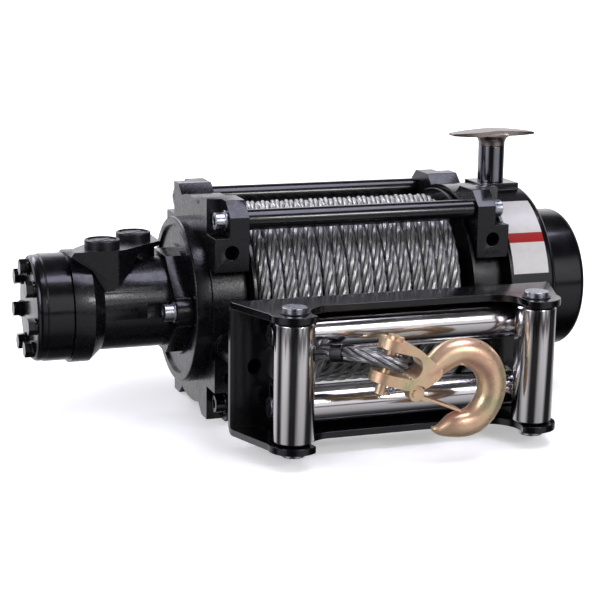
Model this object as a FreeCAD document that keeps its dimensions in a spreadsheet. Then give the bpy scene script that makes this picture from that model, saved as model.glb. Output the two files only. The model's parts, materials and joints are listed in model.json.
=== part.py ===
import FreeCAD, Part
import math
import os

import Sketcher
from FreeCAD import Placement, Rotation, Vector

# Hydraulic winch with a roller fairlead, in millimetres.
# X runs along the drum from the motor to the gearbox, -Y is the front, +Z is up.
# The origin is the centre of the mounting holes on the flat front of the two end housings.

# Driving dimensions: spreadsheet alias, value, meaning
SIZES = [
    ("hole_spacing_x", 254.0, "mounting holes, across the winch"),
    ("hole_spacing_z", 114.3, "mounting holes, up"),
    ("mount_hole_r", 6.5, "radius of a mounting hole"),
    ("mount_hole_deep", 26.0, "depth of a mounting hole"),
    ("half_depth", 82.0, "drum axis to the mounting face"),
    ("housing_thick", 32.0, "end housing along the drum"),
    ("lug_top", 102.0, "top of a corner lug above the axis"),
    ("lug_flat", 39.0, "where the flat top of a lug starts"),
    ("chamfer_deep", 15.0, "lug chamfer, in depth"),
    ("chamfer_high", 13.5, "lug chamfer, in height"),
    ("notch_deep", 28.0, "place of the notch beside the arch"),
    ("notch_high", 92.8, "height of the notch beside the arch"),
    ("arch_r", 97.0, "arch between the lugs"),
    ("block_bottom", 40.0, "underside of a mounting block"),
    ("block_top", 70.5, "ledge on a mounting block"),
    ("core_r", 79.0, "round core between the mounting blocks"),
    ("core_side", 68.1, "core surface at the block's underside"),
    ("pocket_deep", 26.0, "screw pocket, front to back"),
    ("pocket_wide", 14.0, "screw pocket along the drum"),
    ("rod_y", 68.0, "tie rod from the axis, in depth"),
    ("rod_z", 84.0, "tie rod from the axis, in height"),
    ("rod_r", 9.4, "tie rod radius"),
    ("screw_head_r", 8.0, "socket screw head radius"),
    ("screw_head_long", 8.5, "socket screw head length"),
    ("screw_socket_r", 4.0, "hexagon socket of a screw"),
    ("washer_r", 9.6, "washer radius"),
    ("washer_thick", 2.0, "washer thickness"),
    ("journal_r", 30.0, "drum journal radius"),
    ("journal_long", 9.0, "drum journal inside a housing"),
    ("running_gap", 0.06, "radial clearance of a running fit"),
    ("drum_gap", 2.5, "drum flange to housing"),
    ("drum_flange_thick", 10.0, "drum flange thickness"),
    ("flange_to_rod", 5.7, "drum flange to a tie rod"),
    ("barrel_r", 34.0, "drum barrel radius"),
    ("pack_r", 88.0, "outside of the wound rope"),
    ("rope_r", 6.0, "rope radius"),
    ("wrap_pitch", 12.2, "one turn of rope along the drum"),
    ("adapter_r", 77.0, "motor adapter radius"),
    ("adapter_thick", 15.0, "motor adapter thickness"),
    ("adapter_rim", 8.0, "rim of the motor adapter"),
    ("adapter_step", 2.5, "face of the adapter below its rim"),
    ("motor_flange_thick", 14.0, "motor mounting flange"),
    ("motor_flange_half", 53.2, "motor axis to a flange screw"),
    ("motor_ear_r", 14.0, "ear round a flange screw"),
    ("motor_body_r", 42.0, "motor body radius"),
    ("motor_body_long", 60.4, "motor body length"),
    ("motor_taper", 11.0, "taper from body to collar"),
    ("collar_r", 51.5, "collar of the valve housing"),
    ("collar_long", 17.6, "collar length"),
    ("ring_r", 49.0, "gear ring of the motor"),
    ("ring_long", 24.0, "length of the gear ring"),
    ("cover_r", 48.3, "motor end cover radius"),
    ("cover_thick", 9.0, "motor end cover thickness"),
    ("cover_round", 5.0, "rounded edge of the end cover"),
    ("cover_bolt_circle", 38.0, "radius of the end cover's bolt circle"),
    ("hex_half", 6.5, "half width across flats of a cover bolt"),
    ("hex_high", 6.0, "head height of a cover bolt"),
    ("port_top", 56.0, "flat top of the port block"),
    ("port_half_y", 38.0, "half depth of the port block"),
    ("port_vee", 19.0, "height of the point below the ports"),
    ("port_vee_back", 56.0, "that point from the motor flange"),
    ("port_reach", 34.0, "left end of the port block from that point"),
    ("port_boss_r", 19.5, "boss round a port"),
    ("plug_r", 16.0, "port plug radius"),
    ("plug_high", 7.0, "port plug height"),
    ("port_spread", 36.0, "ports apart along the motor"),
    ("port_offset", 30.0, "ports apart in depth"),
    ("gear_r", 94.5, "gear housing radius"),
    ("gear_long", 47.0, "gear housing length"),
    ("gear_round", 6.0, "rounded edge of the gear housing"),
    ("cover_ring_r", 80.0, "ring behind the end cap"),
    ("cover_ring_long", 7.0, "length of that ring"),
    ("cap_r", 67.6, "gearbox end cap radius"),
    ("cap_long", 39.0, "gearbox end cap length"),
    ("cap_round", 7.0, "rounded edge of the end cap"),
    ("pad_top", 99.0, "flat pad under the clutch"),
    ("pad_half", 19.0, "half depth of the pad"),
    ("pad_long", 40.0, "length of the pad"),
    ("post_x", 18.5, "clutch post from the housing's outer face"),
    ("post_r", 12.7, "clutch post radius"),
    ("post_high", 35.0, "clutch post height"),
    ("handle_gap", 0.3, "handle above the post"),
    ("handle_half", 43.0, "half span of the clutch handle"),
    ("handle_high", 15.0, "height of the clutch handle"),
    ("handle_tip", 3.0, "thickness at the handle's tip"),
    ("handle_depth", 13.0, "half depth of the handle"),
    ("stem_r", 7.0, "handle stem radius"),
    ("stem_long", 18.0, "handle stem inside the post"),
    ("spacer_r", 13.5, "stand-off sleeve radius"),
    ("spacer_long", 61.5, "stand-off sleeve length"),
    ("plate_thick", 6.0, "fairlead plate thickness"),
    ("plate_half", 149.0, "half length of the fairlead plate"),
    ("fairlead_z", -29.0, "middle of the fairlead"),
    ("flange_half_gap", 52.8, "middle of the fairlead to a flange"),
    ("window_half_x", 100.0, "half length of the fairlead window"),
    ("window_half_z", 42.0, "half height of the fairlead window"),
    ("upright_inset", 38.3, "upright roller from the plate's end"),
    ("upright_y", 55.5, "upright roller in front of the plate"),
    ("upright_r", 17.6, "upright roller radius"),
    ("upright_half", 51.8, "half length of an upright roller"),
    ("level_y", 19.2, "level roller in front of the plate"),
    ("level_z", 32.0, "level roller from the middle"),
    ("level_r", 17.0, "level roller radius"),
    ("level_half", 106.0, "half length of a level roller"),
    ("ear_r", 21.5, "rounded ear of a fairlead flange"),
    ("flange_mid", 36.0, "flange depth between the ears"),
    ("tab_r", 15.0, "side tab round a level roller's pin"),
    ("tab_gap", 1.5, "level roller to its tab"),
    ("pin_r", 6.0, "roller pin radius"),
    ("pin_head_r", 9.0, "roller pin head radius"),
    ("pin_head_high", 7.0, "roller pin head height"),
    ("bend_r", 8.0, "outside of the fairlead's bends"),
    ("hook_x", -37.6, "clevis pin, along the drum"),
    ("hook_y", 152.0, "clevis pin, in front of the mounting face"),
    ("hook_z", -9.0, "clevis pin, in height"),
    ("hook_turn", 16.7, "the hook droops by this angle"),
    ("clevis_gap", 19.6, "gap between the clevis ears"),
    ("clevis_ear", 9.0, "thickness of a clevis ear"),
    ("clevis_boss_r", 13.0, "boss round the clevis pin"),
    ("clevis_throat", 27.0, "clevis pin to the bottom of the clevis gap"),
    ("clevis_pin_r", 4.5, "clevis pin radius"),
    ("split_pin_r", 1.2, "split pin radius"),
    ("bow_x", 69.0, "middle of the bow from the clevis pin"),
    ("bow_z", -7.7, "middle of the bow above the clevis pin"),
    ("bow_r", 30.5, "radius of the bow's middle line"),
    ("bow_half", 12.8, "half width of the bow"),
    ("tip_x", 56.5, "tip of the hook from the clevis pin"),
    ("tip_z", -47.5, "tip of the hook above the clevis pin"),
    ("latch_x", 30.4, "latch pivot from the clevis pin"),
    ("latch_z", -20.8, "latch pivot above the clevis pin"),
    ("latch_boss_r", 7.0, "boss round the latch pivot"),
    ("latch_boss_half", 4.0, "half width of that boss"),
    ("latch_pin_r", 2.5, "latch pivot radius"),
    ("latch_long", 45.0, "latch length"),
    ("latch_thick", 2.2, "latch sheet thickness"),
    ("latch_droop", 6.2, "angle of the closed latch"),
    ("rope_x", -81.0, "rope in the fairlead, along the drum"),
    ("rope_rise", -1.5, "rope above the middle of the roller gap"),
    ("eye_turn", 50.0, "the eye's legs turn back by this angle"),
    ("eye_long", 38.0, "clevis pin to the ferrule"),
    ("eye_round", 10.85, "rope's middle line round the clevis pin"),
    ("eye_wide", 14.5, "rope's middle line from the middle of the eye, where it is widest"),
    ("eye_droop", 6.5, "the eye hangs this much at the ferrule"),
    ("ferrule_long", 11.0, "ferrule length"),
]

DOC = FreeCAD.newDocument("HydraulicWinch")
SHEET = DOC.addObject("Spreadsheet::Sheet", "Sizes")
for row, (alias, value, meaning) in enumerate(SIZES, start=1):
    SHEET.set(f"A{row}", str(value))
    SHEET.setAlias(f"A{row}", alias)
    SHEET.set(f"B{row}", meaning)
DOC.recompute()

NODES = {}


class Size:
    """A number together with the spreadsheet expression that gives it."""

    def __init__(self, value, text):
        self.value = float(value)
        self.text = text

    def __add__(self, other):
        other = lift(other)
        return Size(self.value + other.value, f"({self.text} + {other.text})")

    def __sub__(self, other):
        other = lift(other)
        return Size(self.value - other.value, f"({self.text} - {other.text})")

    def __mul__(self, other):
        other = lift(other)
        return Size(self.value * other.value, f"({self.text} * {other.text})")

    def __truediv__(self, other):
        other = lift(other)
        return Size(self.value / other.value, f"({self.text} / {other.text})")

    def __neg__(self):
        return Size(-self.value, f"(0 - {self.text})")

    __radd__ = __add__
    __rmul__ = __mul__


def lift(number):
    return number if isinstance(number, Size) else Size(number, repr(float(number)))


def named(alias):
    return Size(SHEET.get(alias), f"Sizes.{alias}")


S = {alias: named(alias) for alias, _, _ in SIZES}
HOLE_X = S["hole_spacing_x"] / 2
HOLE_Z = S["hole_spacing_z"] / 2
INNER = HOLE_X - S["housing_thick"] / 2
OUTER = HOLE_X + S["housing_thick"] / 2
DRUM_Y = S["half_depth"]
S["upright_x"] = S["plate_half"] - S["upright_inset"]
ROD_AWAY = Size(math.hypot(S["rod_y"].value, S["rod_z"].value), "sqrt(Sizes.rod_y ^ 2 + Sizes.rod_z ^ 2)")
DRUM_FLANGE_R = ROD_AWAY - S["rod_r"] - S["flange_to_rod"]


def bind(item, path, size):
    item.setExpression(path, lift(size).text)


def new_body(label, x=0, y=0, z=0, drum=True):
    """A body whose own origin lies on the drum axis, or at the given place in the winch's frame."""
    body = DOC.addObject("PartDesign::Body", label)
    body.Label = label
    for path, size in (("x", lift(x)), ("y", lift(y) + DRUM_Y if drum else lift(y)), ("z", lift(z))):
        bind(body, f"Placement.Base.{path}", size)
    NODES[label] = body
    return body


def new_sketch(body, plane, away=0):
    """A sketch on one of the body's own planes, moved along the plane's normal."""
    sketch = body.newObject("Sketcher::SketchObject", f"{body.Name}_sketch")
    face = [item for item in body.Origin.OriginFeatures if item.Role == f"{plane}_Plane"][0]
    sketch.AttachmentSupport = (face, [""])
    sketch.MapMode = "FlatFace"
    bind(sketch, "AttachmentOffset.Base.z", away)
    return sketch


def hold(sketch, kind, geometry, point, size):
    """Holds one coordinate of a point at a size from the sheet."""
    size = lift(size)
    if size.text == "0.0":
        sketch.addConstraint(Sketcher.Constraint("PointOnObject", geometry, point, -2 if kind == "DistanceX" else -1))
        return
    index = sketch.addConstraint(Sketcher.Constraint(kind, -1, 1, geometry, point, size.value))
    sketch.setExpression(f"Constraints[{index}]", size.text)


def arc_centre(start, end, radius):
    """Centre of the short arc from start to end, on the left of the way for a positive radius."""
    chord = end - start
    rise = math.sqrt(max(radius ** 2 - (chord.Length / 2) ** 2, 0))
    side = Vector(-chord.y, chord.x, 0).normalize()
    return (start + end) * 0.5 + side * rise * (1 if radius > 0 else -1)


def outline(sketch, points):
    """A closed outline. Each point is (x, y), or (x, y, r) when an arc of radius r leads to it."""
    first = sketch.GeometryCount
    count = len(points)
    spots = [Vector(lift(p[0]).value, lift(p[1]).value, 0) for p in points]
    starts = []
    for i in range(count):
        start, end = spots[i], spots[(i + 1) % count]
        target = points[(i + 1) % count]
        if len(target) == 2:
            sketch.addGeometry(Part.LineSegment(start, end), False)
            starts.append((1, 2))
            continue
        radius = lift(target[2])
        centre = arc_centre(start, end, radius.value)
        angles = [math.atan2(p.y - centre.y, p.x - centre.x) for p in (start, end)]
        if radius.value < 0:
            angles.reverse()
        circle = Part.Circle(centre, Vector(0, 0, 1), abs(radius.value))
        sketch.addGeometry(Part.ArcOfCircle(circle, angles[0], angles[1]), False)
        if abs((end - start).Length - 2 * abs(radius.value)) > 0.001:
            index = sketch.addConstraint(Sketcher.Constraint("Radius", first + i, abs(radius.value)))
            sketch.setExpression(f"Constraints[{index}]", (radius if radius.value > 0 else -radius).text)
        elif abs(end.x - start.x) < 0.001:
            hold(sketch, "DistanceX", first + i, 3, target[0])
        else:
            hold(sketch, "DistanceY", first + i, 3, target[1])
        starts.append((1, 2) if radius.value > 0 else (2, 1))
    for i in range(count):
        after = (i + 1) % count
        sketch.addConstraint(Sketcher.Constraint("Coincident", first + i, starts[i][1], first + after, starts[after][0]))
    for i, point in enumerate(points):
        hold(sketch, "DistanceX", first + i, starts[i][0], point[0])
        hold(sketch, "DistanceY", first + i, starts[i][0], point[1])


def ring(sketch, x, y, radius):
    """A circle in a sketch."""
    x, y, radius = lift(x), lift(y), lift(radius)
    index = sketch.addGeometry(Part.Circle(Vector(x.value, y.value, 0), Vector(0, 0, 1), radius.value), False)
    hold(sketch, "DistanceX", index, 3, x)
    hold(sketch, "DistanceY", index, 3, y)
    held = sketch.addConstraint(Sketcher.Constraint("Radius", index, radius.value))
    sketch.setExpression(f"Constraints[{held}]", radius.text)


def box_outline(x0, y0, x1, y1):
    return [(x0, y0), (x1, y0), (x1, y1), (x0, y1)]


def pad(body, sketch, length, back=False, middle=False):
    item = body.newObject("PartDesign::Pad", f"{body.Name}_pad")
    item.Profile = sketch
    bind(item, "Length", length)
    item.Reversed = back
    if middle:
        item.SideType = "Symmetric"
    DOC.recompute()
    return item


def pocket(body, sketch, length, back=False):
    """Cuts against the sketch's normal, or along it with back, and checks that it does cut."""
    before = body.Shape.Volume
    item = body.newObject("PartDesign::Pocket", f"{body.Name}_pocket")
    item.Profile = sketch
    bind(item, "Length", length)
    item.Reversed = back
    DOC.recompute()
    if body.Shape.Volume > before - 1:
        raise RuntimeError(f"{item.Name} cuts nothing")
    return item


def turned(body, sketch, axis="H_Axis"):
    item = body.newObject("PartDesign::Revolution", f"{body.Name}_turned")
    item.Profile = sketch
    item.ReferenceAxis = (sketch, [axis])
    item.Angle = 360
    DOC.recompute()
    return item


def dressed(body, kind, size_name, size, wanted):
    """A fillet or chamfer on every edge of the body's tip that the test picks."""
    tip = body.Tip
    names = [f"Edge{i}" for i, edge in enumerate(tip.Shape.Edges, start=1) if wanted(edge)]
    if not names:
        raise RuntimeError(f"{body.Name}: no edge to dress")
    item = body.newObject(f"PartDesign::{kind}", f"{body.Name}_{kind.lower()}")
    item.Base = (tip, names)
    bind(item, size_name, size)
    DOC.recompute()
    return item


def round_edges(body, size, wanted):
    return dressed(body, "Fillet", "Radius", size, wanted)


def is_circle(edge, radius, axis=None, at=None):
    """True for a full circle of this radius whose centre has this coordinate along the axis."""
    curve = edge.Curve
    if curve.TypeId != "Part::GeomCircle" or abs(curve.Radius - radius.value) > 0.01:
        return False
    return at is None or abs(getattr(curve.Center, axis) - lift(at).value) < 0.01


# Motor, from the left end housing outwards

MOTOR_FACE = -(OUTER + S["adapter_thick"])
FLANGE_END = MOTOR_FACE - S["motor_flange_thick"]
BODY_END = FLANGE_END - S["motor_body_long"]
TAPER_END = BODY_END - S["motor_taper"]
COLLAR_END = TAPER_END - S["collar_long"]
RING_END = COLLAR_END - S["ring_long"]
COVER_END = RING_END - S["cover_thick"]


def motor_adapter():
    body = new_body("motor_adapter_disc")
    sketch = new_sketch(body, "XZ")
    inside = S["adapter_r"] - S["adapter_rim"]
    face = MOTOR_FACE + S["adapter_step"]
    outline(sketch, [(-OUTER, 0), (-OUTER, S["adapter_r"]), (MOTOR_FACE, S["adapter_r"]), (MOTOR_FACE, inside),
                     (face, inside), (face, S["collar_r"]), (MOTOR_FACE, S["collar_r"]), (MOTOR_FACE, 0)])
    turned(body, sketch)
    round_edges(body, 2, lambda e: is_circle(e, S["adapter_r"], "x", MOTOR_FACE))


def port_places():
    """The middles of the two ports, front and rear, on the block's flat top."""
    middle = FLANGE_END - S["motor_body_long"] * 0.647
    return [(middle + S["port_spread"] * (0.5 * side), S["port_offset"] * (0.5 * side)) for side in (-1, 1)]


def port_block(body):
    """The cast block that carries the ports: a point in front and a top that follows the two bosses."""
    top, half, end = S["port_top"], S["port_half_y"], FLANGE_END
    point = end - S["port_vee_back"]
    left = point - S["port_reach"]
    sketch = new_sketch(body, "XZ")
    outline(sketch, [(left, top - 4), (left + 3, top), (end, top), (end, top - 4), (point + 31, top - 7),
                     (point + 22, top - 20), (point + 3.5, S["port_vee"]), (point - 3.5, S["port_vee"]),
                     (point - 15, top - 17)])
    pad(body, sketch, half * 2, middle=True)
    sketch = new_sketch(body, "XY", top + 1)
    beyond = half + 1
    outline(sketch, [(end + 1, -beyond), (end + 1, 0), (point + 16, -half + 3), (point + 6, -beyond)])
    outline(sketch, [(left - 1, -half + 12), (point - 15, -1), (point + 22, 30), (point + 32, half), (point + 32, beyond),
                     (left - 1, beyond)])
    pocket(body, sketch, top)
    sketch = new_sketch(body, "XY", top)
    for x, y in port_places():
        ring(sketch, x, y, S["port_boss_r"])
    pad(body, sketch, top * 0.6, back=True)


def motor_valve_housing():
    body = new_body("motor_valve_housing")
    port_block(body)
    sketch = new_sketch(body, "XZ")
    outline(sketch, [(MOTOR_FACE, 0), (MOTOR_FACE, S["motor_body_r"]), (BODY_END, S["motor_body_r"]),
                     (TAPER_END, S["collar_r"]), (COLLAR_END, S["collar_r"]), (COLLAR_END, 0)])
    turned(body, sketch)
    # two-bolt flange, with ears in front and behind
    sketch = new_sketch(body, "YZ", MOTOR_FACE)
    half, ear = S["motor_flange_half"], S["motor_ear_r"]
    flat = S["motor_body_r"] + 3
    shoulder = S["motor_body_r"] / 2
    outline(sketch, [(shoulder, flat), (-shoulder, flat), (-half, ear), (-half, -ear, ear), (-shoulder, -flat),
                     (shoulder, -flat), (half, -ear), (half, ear, ear)])
    pad(body, sketch, S["motor_flange_thick"], back=True)
    # scallops that clear the two flange screws
    sketch = new_sketch(body, "YZ", FLANGE_END)
    ring(sketch, half, 0, S["washer_r"] + 4)
    ring(sketch, -half, 0, S["washer_r"] + 4)
    pocket(body, sketch, 22)


def motor_ring_and_cover():
    body = new_body("motor_gear_ring")
    sketch = new_sketch(body, "XZ")
    groove, step = 1.0, 0.8
    outer = S["ring_r"]
    outline(sketch, [(COLLAR_END, 0), (COLLAR_END, outer - step), (COLLAR_END - groove, outer - step),
                     (COLLAR_END - groove, outer), (RING_END + groove, outer), (RING_END + groove, outer - step),
                     (RING_END, outer - step), (RING_END, 0)])
    turned(body, sketch)
    body = new_body("motor_end_cover")
    sketch = new_sketch(body, "XZ")
    outline(sketch, [(RING_END, 0), (RING_END, S["cover_r"]), (COVER_END, S["cover_r"]), (COVER_END, 0)])
    turned(body, sketch)
    round_edges(body, S["cover_round"], lambda e: is_circle(e, S["cover_r"], "x", COVER_END))
    # seven hexagon bolts with washers
    body = new_body("motor_cover_bolts")
    body.AllowCompound = True
    sketch = new_sketch(body, "YZ", COVER_END)
    ring(sketch, 0, S["cover_bolt_circle"], S["hex_half"] * 1.2)
    pad(body, sketch, S["washer_thick"], back=True)
    sketch = new_sketch(body, "YZ", COVER_END - S["washer_thick"])
    flat, corner = S["hex_half"], S["hex_half"] * 1.1547
    up = S["cover_bolt_circle"]
    outline(sketch, [(flat, up - corner / 2), (flat, up + corner / 2), (0, up + corner), (-flat, up + corner / 2),
                     (-flat, up - corner / 2), (0, up - corner)])
    head = pad(body, sketch, S["hex_high"], back=True)
    pattern = body.newObject("PartDesign::PolarPattern", "cover_bolt_pattern")
    pattern.Originals = [body.Group[1], head]
    pattern.Axis = ([item for item in body.Origin.OriginFeatures if item.Role == "X_Axis"][0], [""])
    pattern.Angle = 360
    pattern.Occurrences = 7
    body.Tip = pattern
    DOC.recompute()


def port_plugs():
    for name, (x, y) in zip(("port_plug_front", "port_plug_rear"), port_places()):
        body = new_body(name, x, y, S["port_top"])
        sketch = new_sketch(body, "XZ")
        high, rim = S["plug_high"], 3
        outline(sketch, [(0, 0), (S["plug_r"], 0), (S["plug_r"], high), (S["plug_r"] - rim, high),
                         (S["plug_r"] - rim, high - 1), (0, high - 1)])
        turned(body, sketch, "V_Axis")
        round_edges(body, 1.2, lambda e: is_circle(e, S["plug_r"], "z", S["plug_high"]))


def socket_screws(label, places, face, outwards):
    """Socket-head screws with washers on a face square to the drum, heads pointing outwards."""
    body = new_body(label)
    body.AllowCompound = True
    back = outwards < 0
    sketch = new_sketch(body, "YZ", face)
    for y, z in places:
        ring(sketch, y, z, S["washer_r"])
    pad(body, sketch, S["washer_thick"], back=back)
    seat = face + S["washer_thick"] * outwards
    sketch = new_sketch(body, "YZ", seat)
    for y, z in places:
        ring(sketch, y, z, S["screw_head_r"])
    pad(body, sketch, S["screw_head_long"], back=back)
    sketch = new_sketch(body, "YZ", seat + S["screw_head_long"] * outwards)
    for y, z in places:
        ring(sketch, y, z, S["screw_socket_r"])
    pocket(body, sketch, S["screw_head_long"] * 0.6, back=back)


# End housings, tie rods and gearbox

def end_housing(label, side):
    """A cast end housing: four corner lugs, mounting blocks, a round core and screw pockets."""
    body = new_body(label)
    back = side < 0
    inner, outer = INNER * side, OUTER * side
    deep, top = S["half_depth"], S["lug_top"]
    notch, flat = (S["notch_deep"], S["notch_high"]), S["lug_flat"]
    sketch = new_sketch(body, "YZ", inner)
    corner_y, corner_z = deep - S["chamfer_deep"], top - S["chamfer_high"]
    arch = S["arch_r"]
    outline(sketch, [
        (-notch[0], notch[1], arch), (-flat, top), (-corner_y, top), (-deep, corner_z),
        (-deep, -corner_z), (-corner_y, -top), (-flat, -top), (-notch[0], -notch[1]),
        (notch[0], -notch[1], arch), (flat, -top), (corner_y, -top), (deep, -corner_z),
        (deep, corner_z), (corner_y, top), (flat, top), (notch[0], notch[1])])
    pad(body, sketch, S["housing_thick"], back=back)
    # between the mounting blocks the round core shows
    low, core, edge = S["block_bottom"], S["core_r"], S["core_side"]
    sketch = new_sketch(body, "YZ", inner)
    beyond = deep + 1
    outline(sketch, [(beyond, -low), (beyond, low), (edge, low), (edge, -low, -core)])
    outline(sketch, [(-beyond, low), (-beyond, -low), (-edge, -low), (-edge, low, -core)])
    pocket(body, sketch, S["housing_thick"], back=not back)
    # a pocket above each block, open outwards, holds a tie rod's screw
    sketch = new_sketch(body, "YZ", outer - S["pocket_wide"] * side)
    inside, ledge, above = deep - S["pocket_deep"], S["block_top"], top + 1
    for y in (1, -1):
        for z in (1, -1):
            outline(sketch, box_outline(inside * y, ledge * z, beyond * y, above * z))
    pocket(body, sketch, S["pocket_wide"], back=not back)
    # tapped mounting holes in the flat front
    sketch = new_sketch(body, "XZ", deep)
    ring(sketch, HOLE_X * side, HOLE_Z, S["mount_hole_r"])
    ring(sketch, HOLE_X * side, -HOLE_Z, S["mount_hole_r"])
    pocket(body, sketch, S["mount_hole_deep"])
    # boss that carries the fairlead's stand-off sleeve
    sketch = new_sketch(body, "XZ", deep)
    ring(sketch, HOLE_X * side, S["fairlead_z"], S["spacer_r"])
    pad(body, sketch, deep - S["core_side"] + 4, back=True)
    sketch = new_sketch(body, "XZ", deep)
    ring(sketch, HOLE_X * side, S["fairlead_z"], S["mount_hole_r"])
    pocket(body, sketch, S["mount_hole_deep"])
    # blind bore for the drum's journal
    sketch = new_sketch(body, "YZ", inner)
    ring(sketch, 0, 0, S["journal_r"] + S["running_gap"])
    pocket(body, sketch, S["journal_long"] + 1, back=not back)


def tie_rods():
    for label, y, z in (("tie_rod_upper_front", -1, 1), ("tie_rod_upper_rear", 1, 1), ("tie_rod_lower_rear", 1, -1)):
        body = new_body(label)
        sketch = new_sketch(body, "YZ")
        ring(sketch, S["rod_y"] * y, S["rod_z"] * z, S["rod_r"])
        pad(body, sketch, INNER * 2, middle=True)


def gearbox():
    start = OUTER
    end = start + S["gear_long"]
    body = new_body("gear_housing")
    sketch = new_sketch(body, "XZ")
    outline(sketch, [(start, 0), (start, S["gear_r"]), (end, S["gear_r"]), (end, 0)])
    turned(body, sketch)
    round_edges(body, S["gear_round"], lambda e: is_circle(e, S["gear_r"], "x", end))
    sketch = new_sketch(body, "XY", S["pad_top"])
    half = S["pad_half"]
    outline(sketch, box_outline(start, -half, start + S["pad_long"], half))
    pad(body, sketch, 30, back=True)
    body = new_body("gearbox_cover_ring")
    sketch = new_sketch(body, "XZ")
    ring_end = end + S["cover_ring_long"]
    outline(sketch, [(end, 0), (end, S["cover_ring_r"]), (ring_end, S["cover_ring_r"]), (ring_end, 0)])
    turned(body, sketch)
    round_edges(body, 2, lambda e: is_circle(e, S["cover_ring_r"], "x", ring_end))
    body = new_body("gearbox_end_cap")
    sketch = new_sketch(body, "XZ")
    cap_end = ring_end + S["cap_long"]
    outline(sketch, [(ring_end, 0), (ring_end, S["cap_r"]), (cap_end, S["cap_r"]), (cap_end, 0)])
    turned(body, sketch)
    round_edges(body, S["cap_round"], lambda e: is_circle(e, S["cap_r"], "x", cap_end))


def clutch():
    x = OUTER + S["post_x"]
    body = new_body("clutch_post", x, 0, S["pad_top"])
    sketch = new_sketch(body, "XZ")
    bore, high = S["stem_r"] + S["running_gap"], S["post_high"]
    floor = high - S["stem_long"] - 1
    outline(sketch, [(0, 0), (S["post_r"], 0), (S["post_r"], high), (bore, high), (bore, floor), (0, floor)])
    turned(body, sketch, "V_Axis")
    # T handle: a thin bowed wing on a flared round hub, and a stem in the post
    body = new_body("clutch_handle", x, 0, S["pad_top"] + S["post_high"] + S["handle_gap"])
    sketch = new_sketch(body, "XZ")
    half, high, tip, hub = S["handle_half"], S["handle_high"], S["handle_tip"], S["post_r"]
    outline(sketch, [(-half, high - tip), (-half, high - tip - 2), (0, high - tip - 2.5, 400), (half, high - tip - 2),
                     (half, high - tip), (0, high, 420)])
    pad(body, sketch, S["handle_depth"] * 2, middle=True)
    sketch = new_sketch(body, "XY", -1)
    big = half + 1
    deep = S["handle_depth"]
    outline(sketch, [(-big, -deep - 1), (big, -deep - 1), (big, -5), (0, -deep - 0.01, -72), (-big, -5, -72)])
    outline(sketch, [(big, deep + 1), (-big, deep + 1), (-big, 5), (0, deep + 0.01, -72), (big, 5, -72)])
    pocket(body, sketch, high + 4, back=True)
    sketch = new_sketch(body, "XZ")
    under = high - tip - 2
    outline(sketch, [(0, 0), (hub, 0), (hub, 3), (hub + 5, under, -11), (0, under)])
    turned(body, sketch, "V_Axis")
    sketch = new_sketch(body, "XY")
    ring(sketch, 0, 0, S["stem_r"])
    pad(body, sketch, S["stem_long"], back=True)


# Drum and rope

def drum_and_rope():
    end = INNER - S["drum_gap"]
    inside = end - S["drum_flange_thick"]
    tip = INNER + S["journal_long"]
    body = new_body("drum")
    sketch = new_sketch(body, "XZ")
    outline(sketch, [(-tip, 0), (-tip, S["journal_r"]), (-end, S["journal_r"]), (-end, DRUM_FLANGE_R),
                     (-inside, DRUM_FLANGE_R), (-inside, S["barrel_r"]), (inside, S["barrel_r"]),
                     (inside, DRUM_FLANGE_R), (end, DRUM_FLANGE_R), (end, S["journal_r"]),
                     (tip, S["journal_r"]), (tip, 0)])
    turned(body, sketch)
    # the wound rope: one rounded ridge for each turn of the outer layer
    body = new_body("rope_pack")
    sketch = new_sketch(body, "XZ")
    pitch = S["wrap_pitch"]
    turns = int(2 * inside.value / pitch.value)
    valley = S["pack_r"] - S["rope_r"] * 0.75
    start = pitch * (-turns / 2)
    points = [(start, S["barrel_r"]), (start, valley)]
    for i in range(1, turns + 1):
        points.append((start + pitch * i, valley, -(S["rope_r"] * 1.05)))
    points.append((start + pitch * turns, S["barrel_r"]))
    outline(sketch, points)
    turned(body, sketch)


# Roller fairlead

PLATE_FRONT = S["spacer_long"] + S["plate_thick"]
UPRIGHT_Y = PLATE_FRONT + S["upright_y"]
LEVEL_Y = PLATE_FRONT + S["level_y"]


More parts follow.
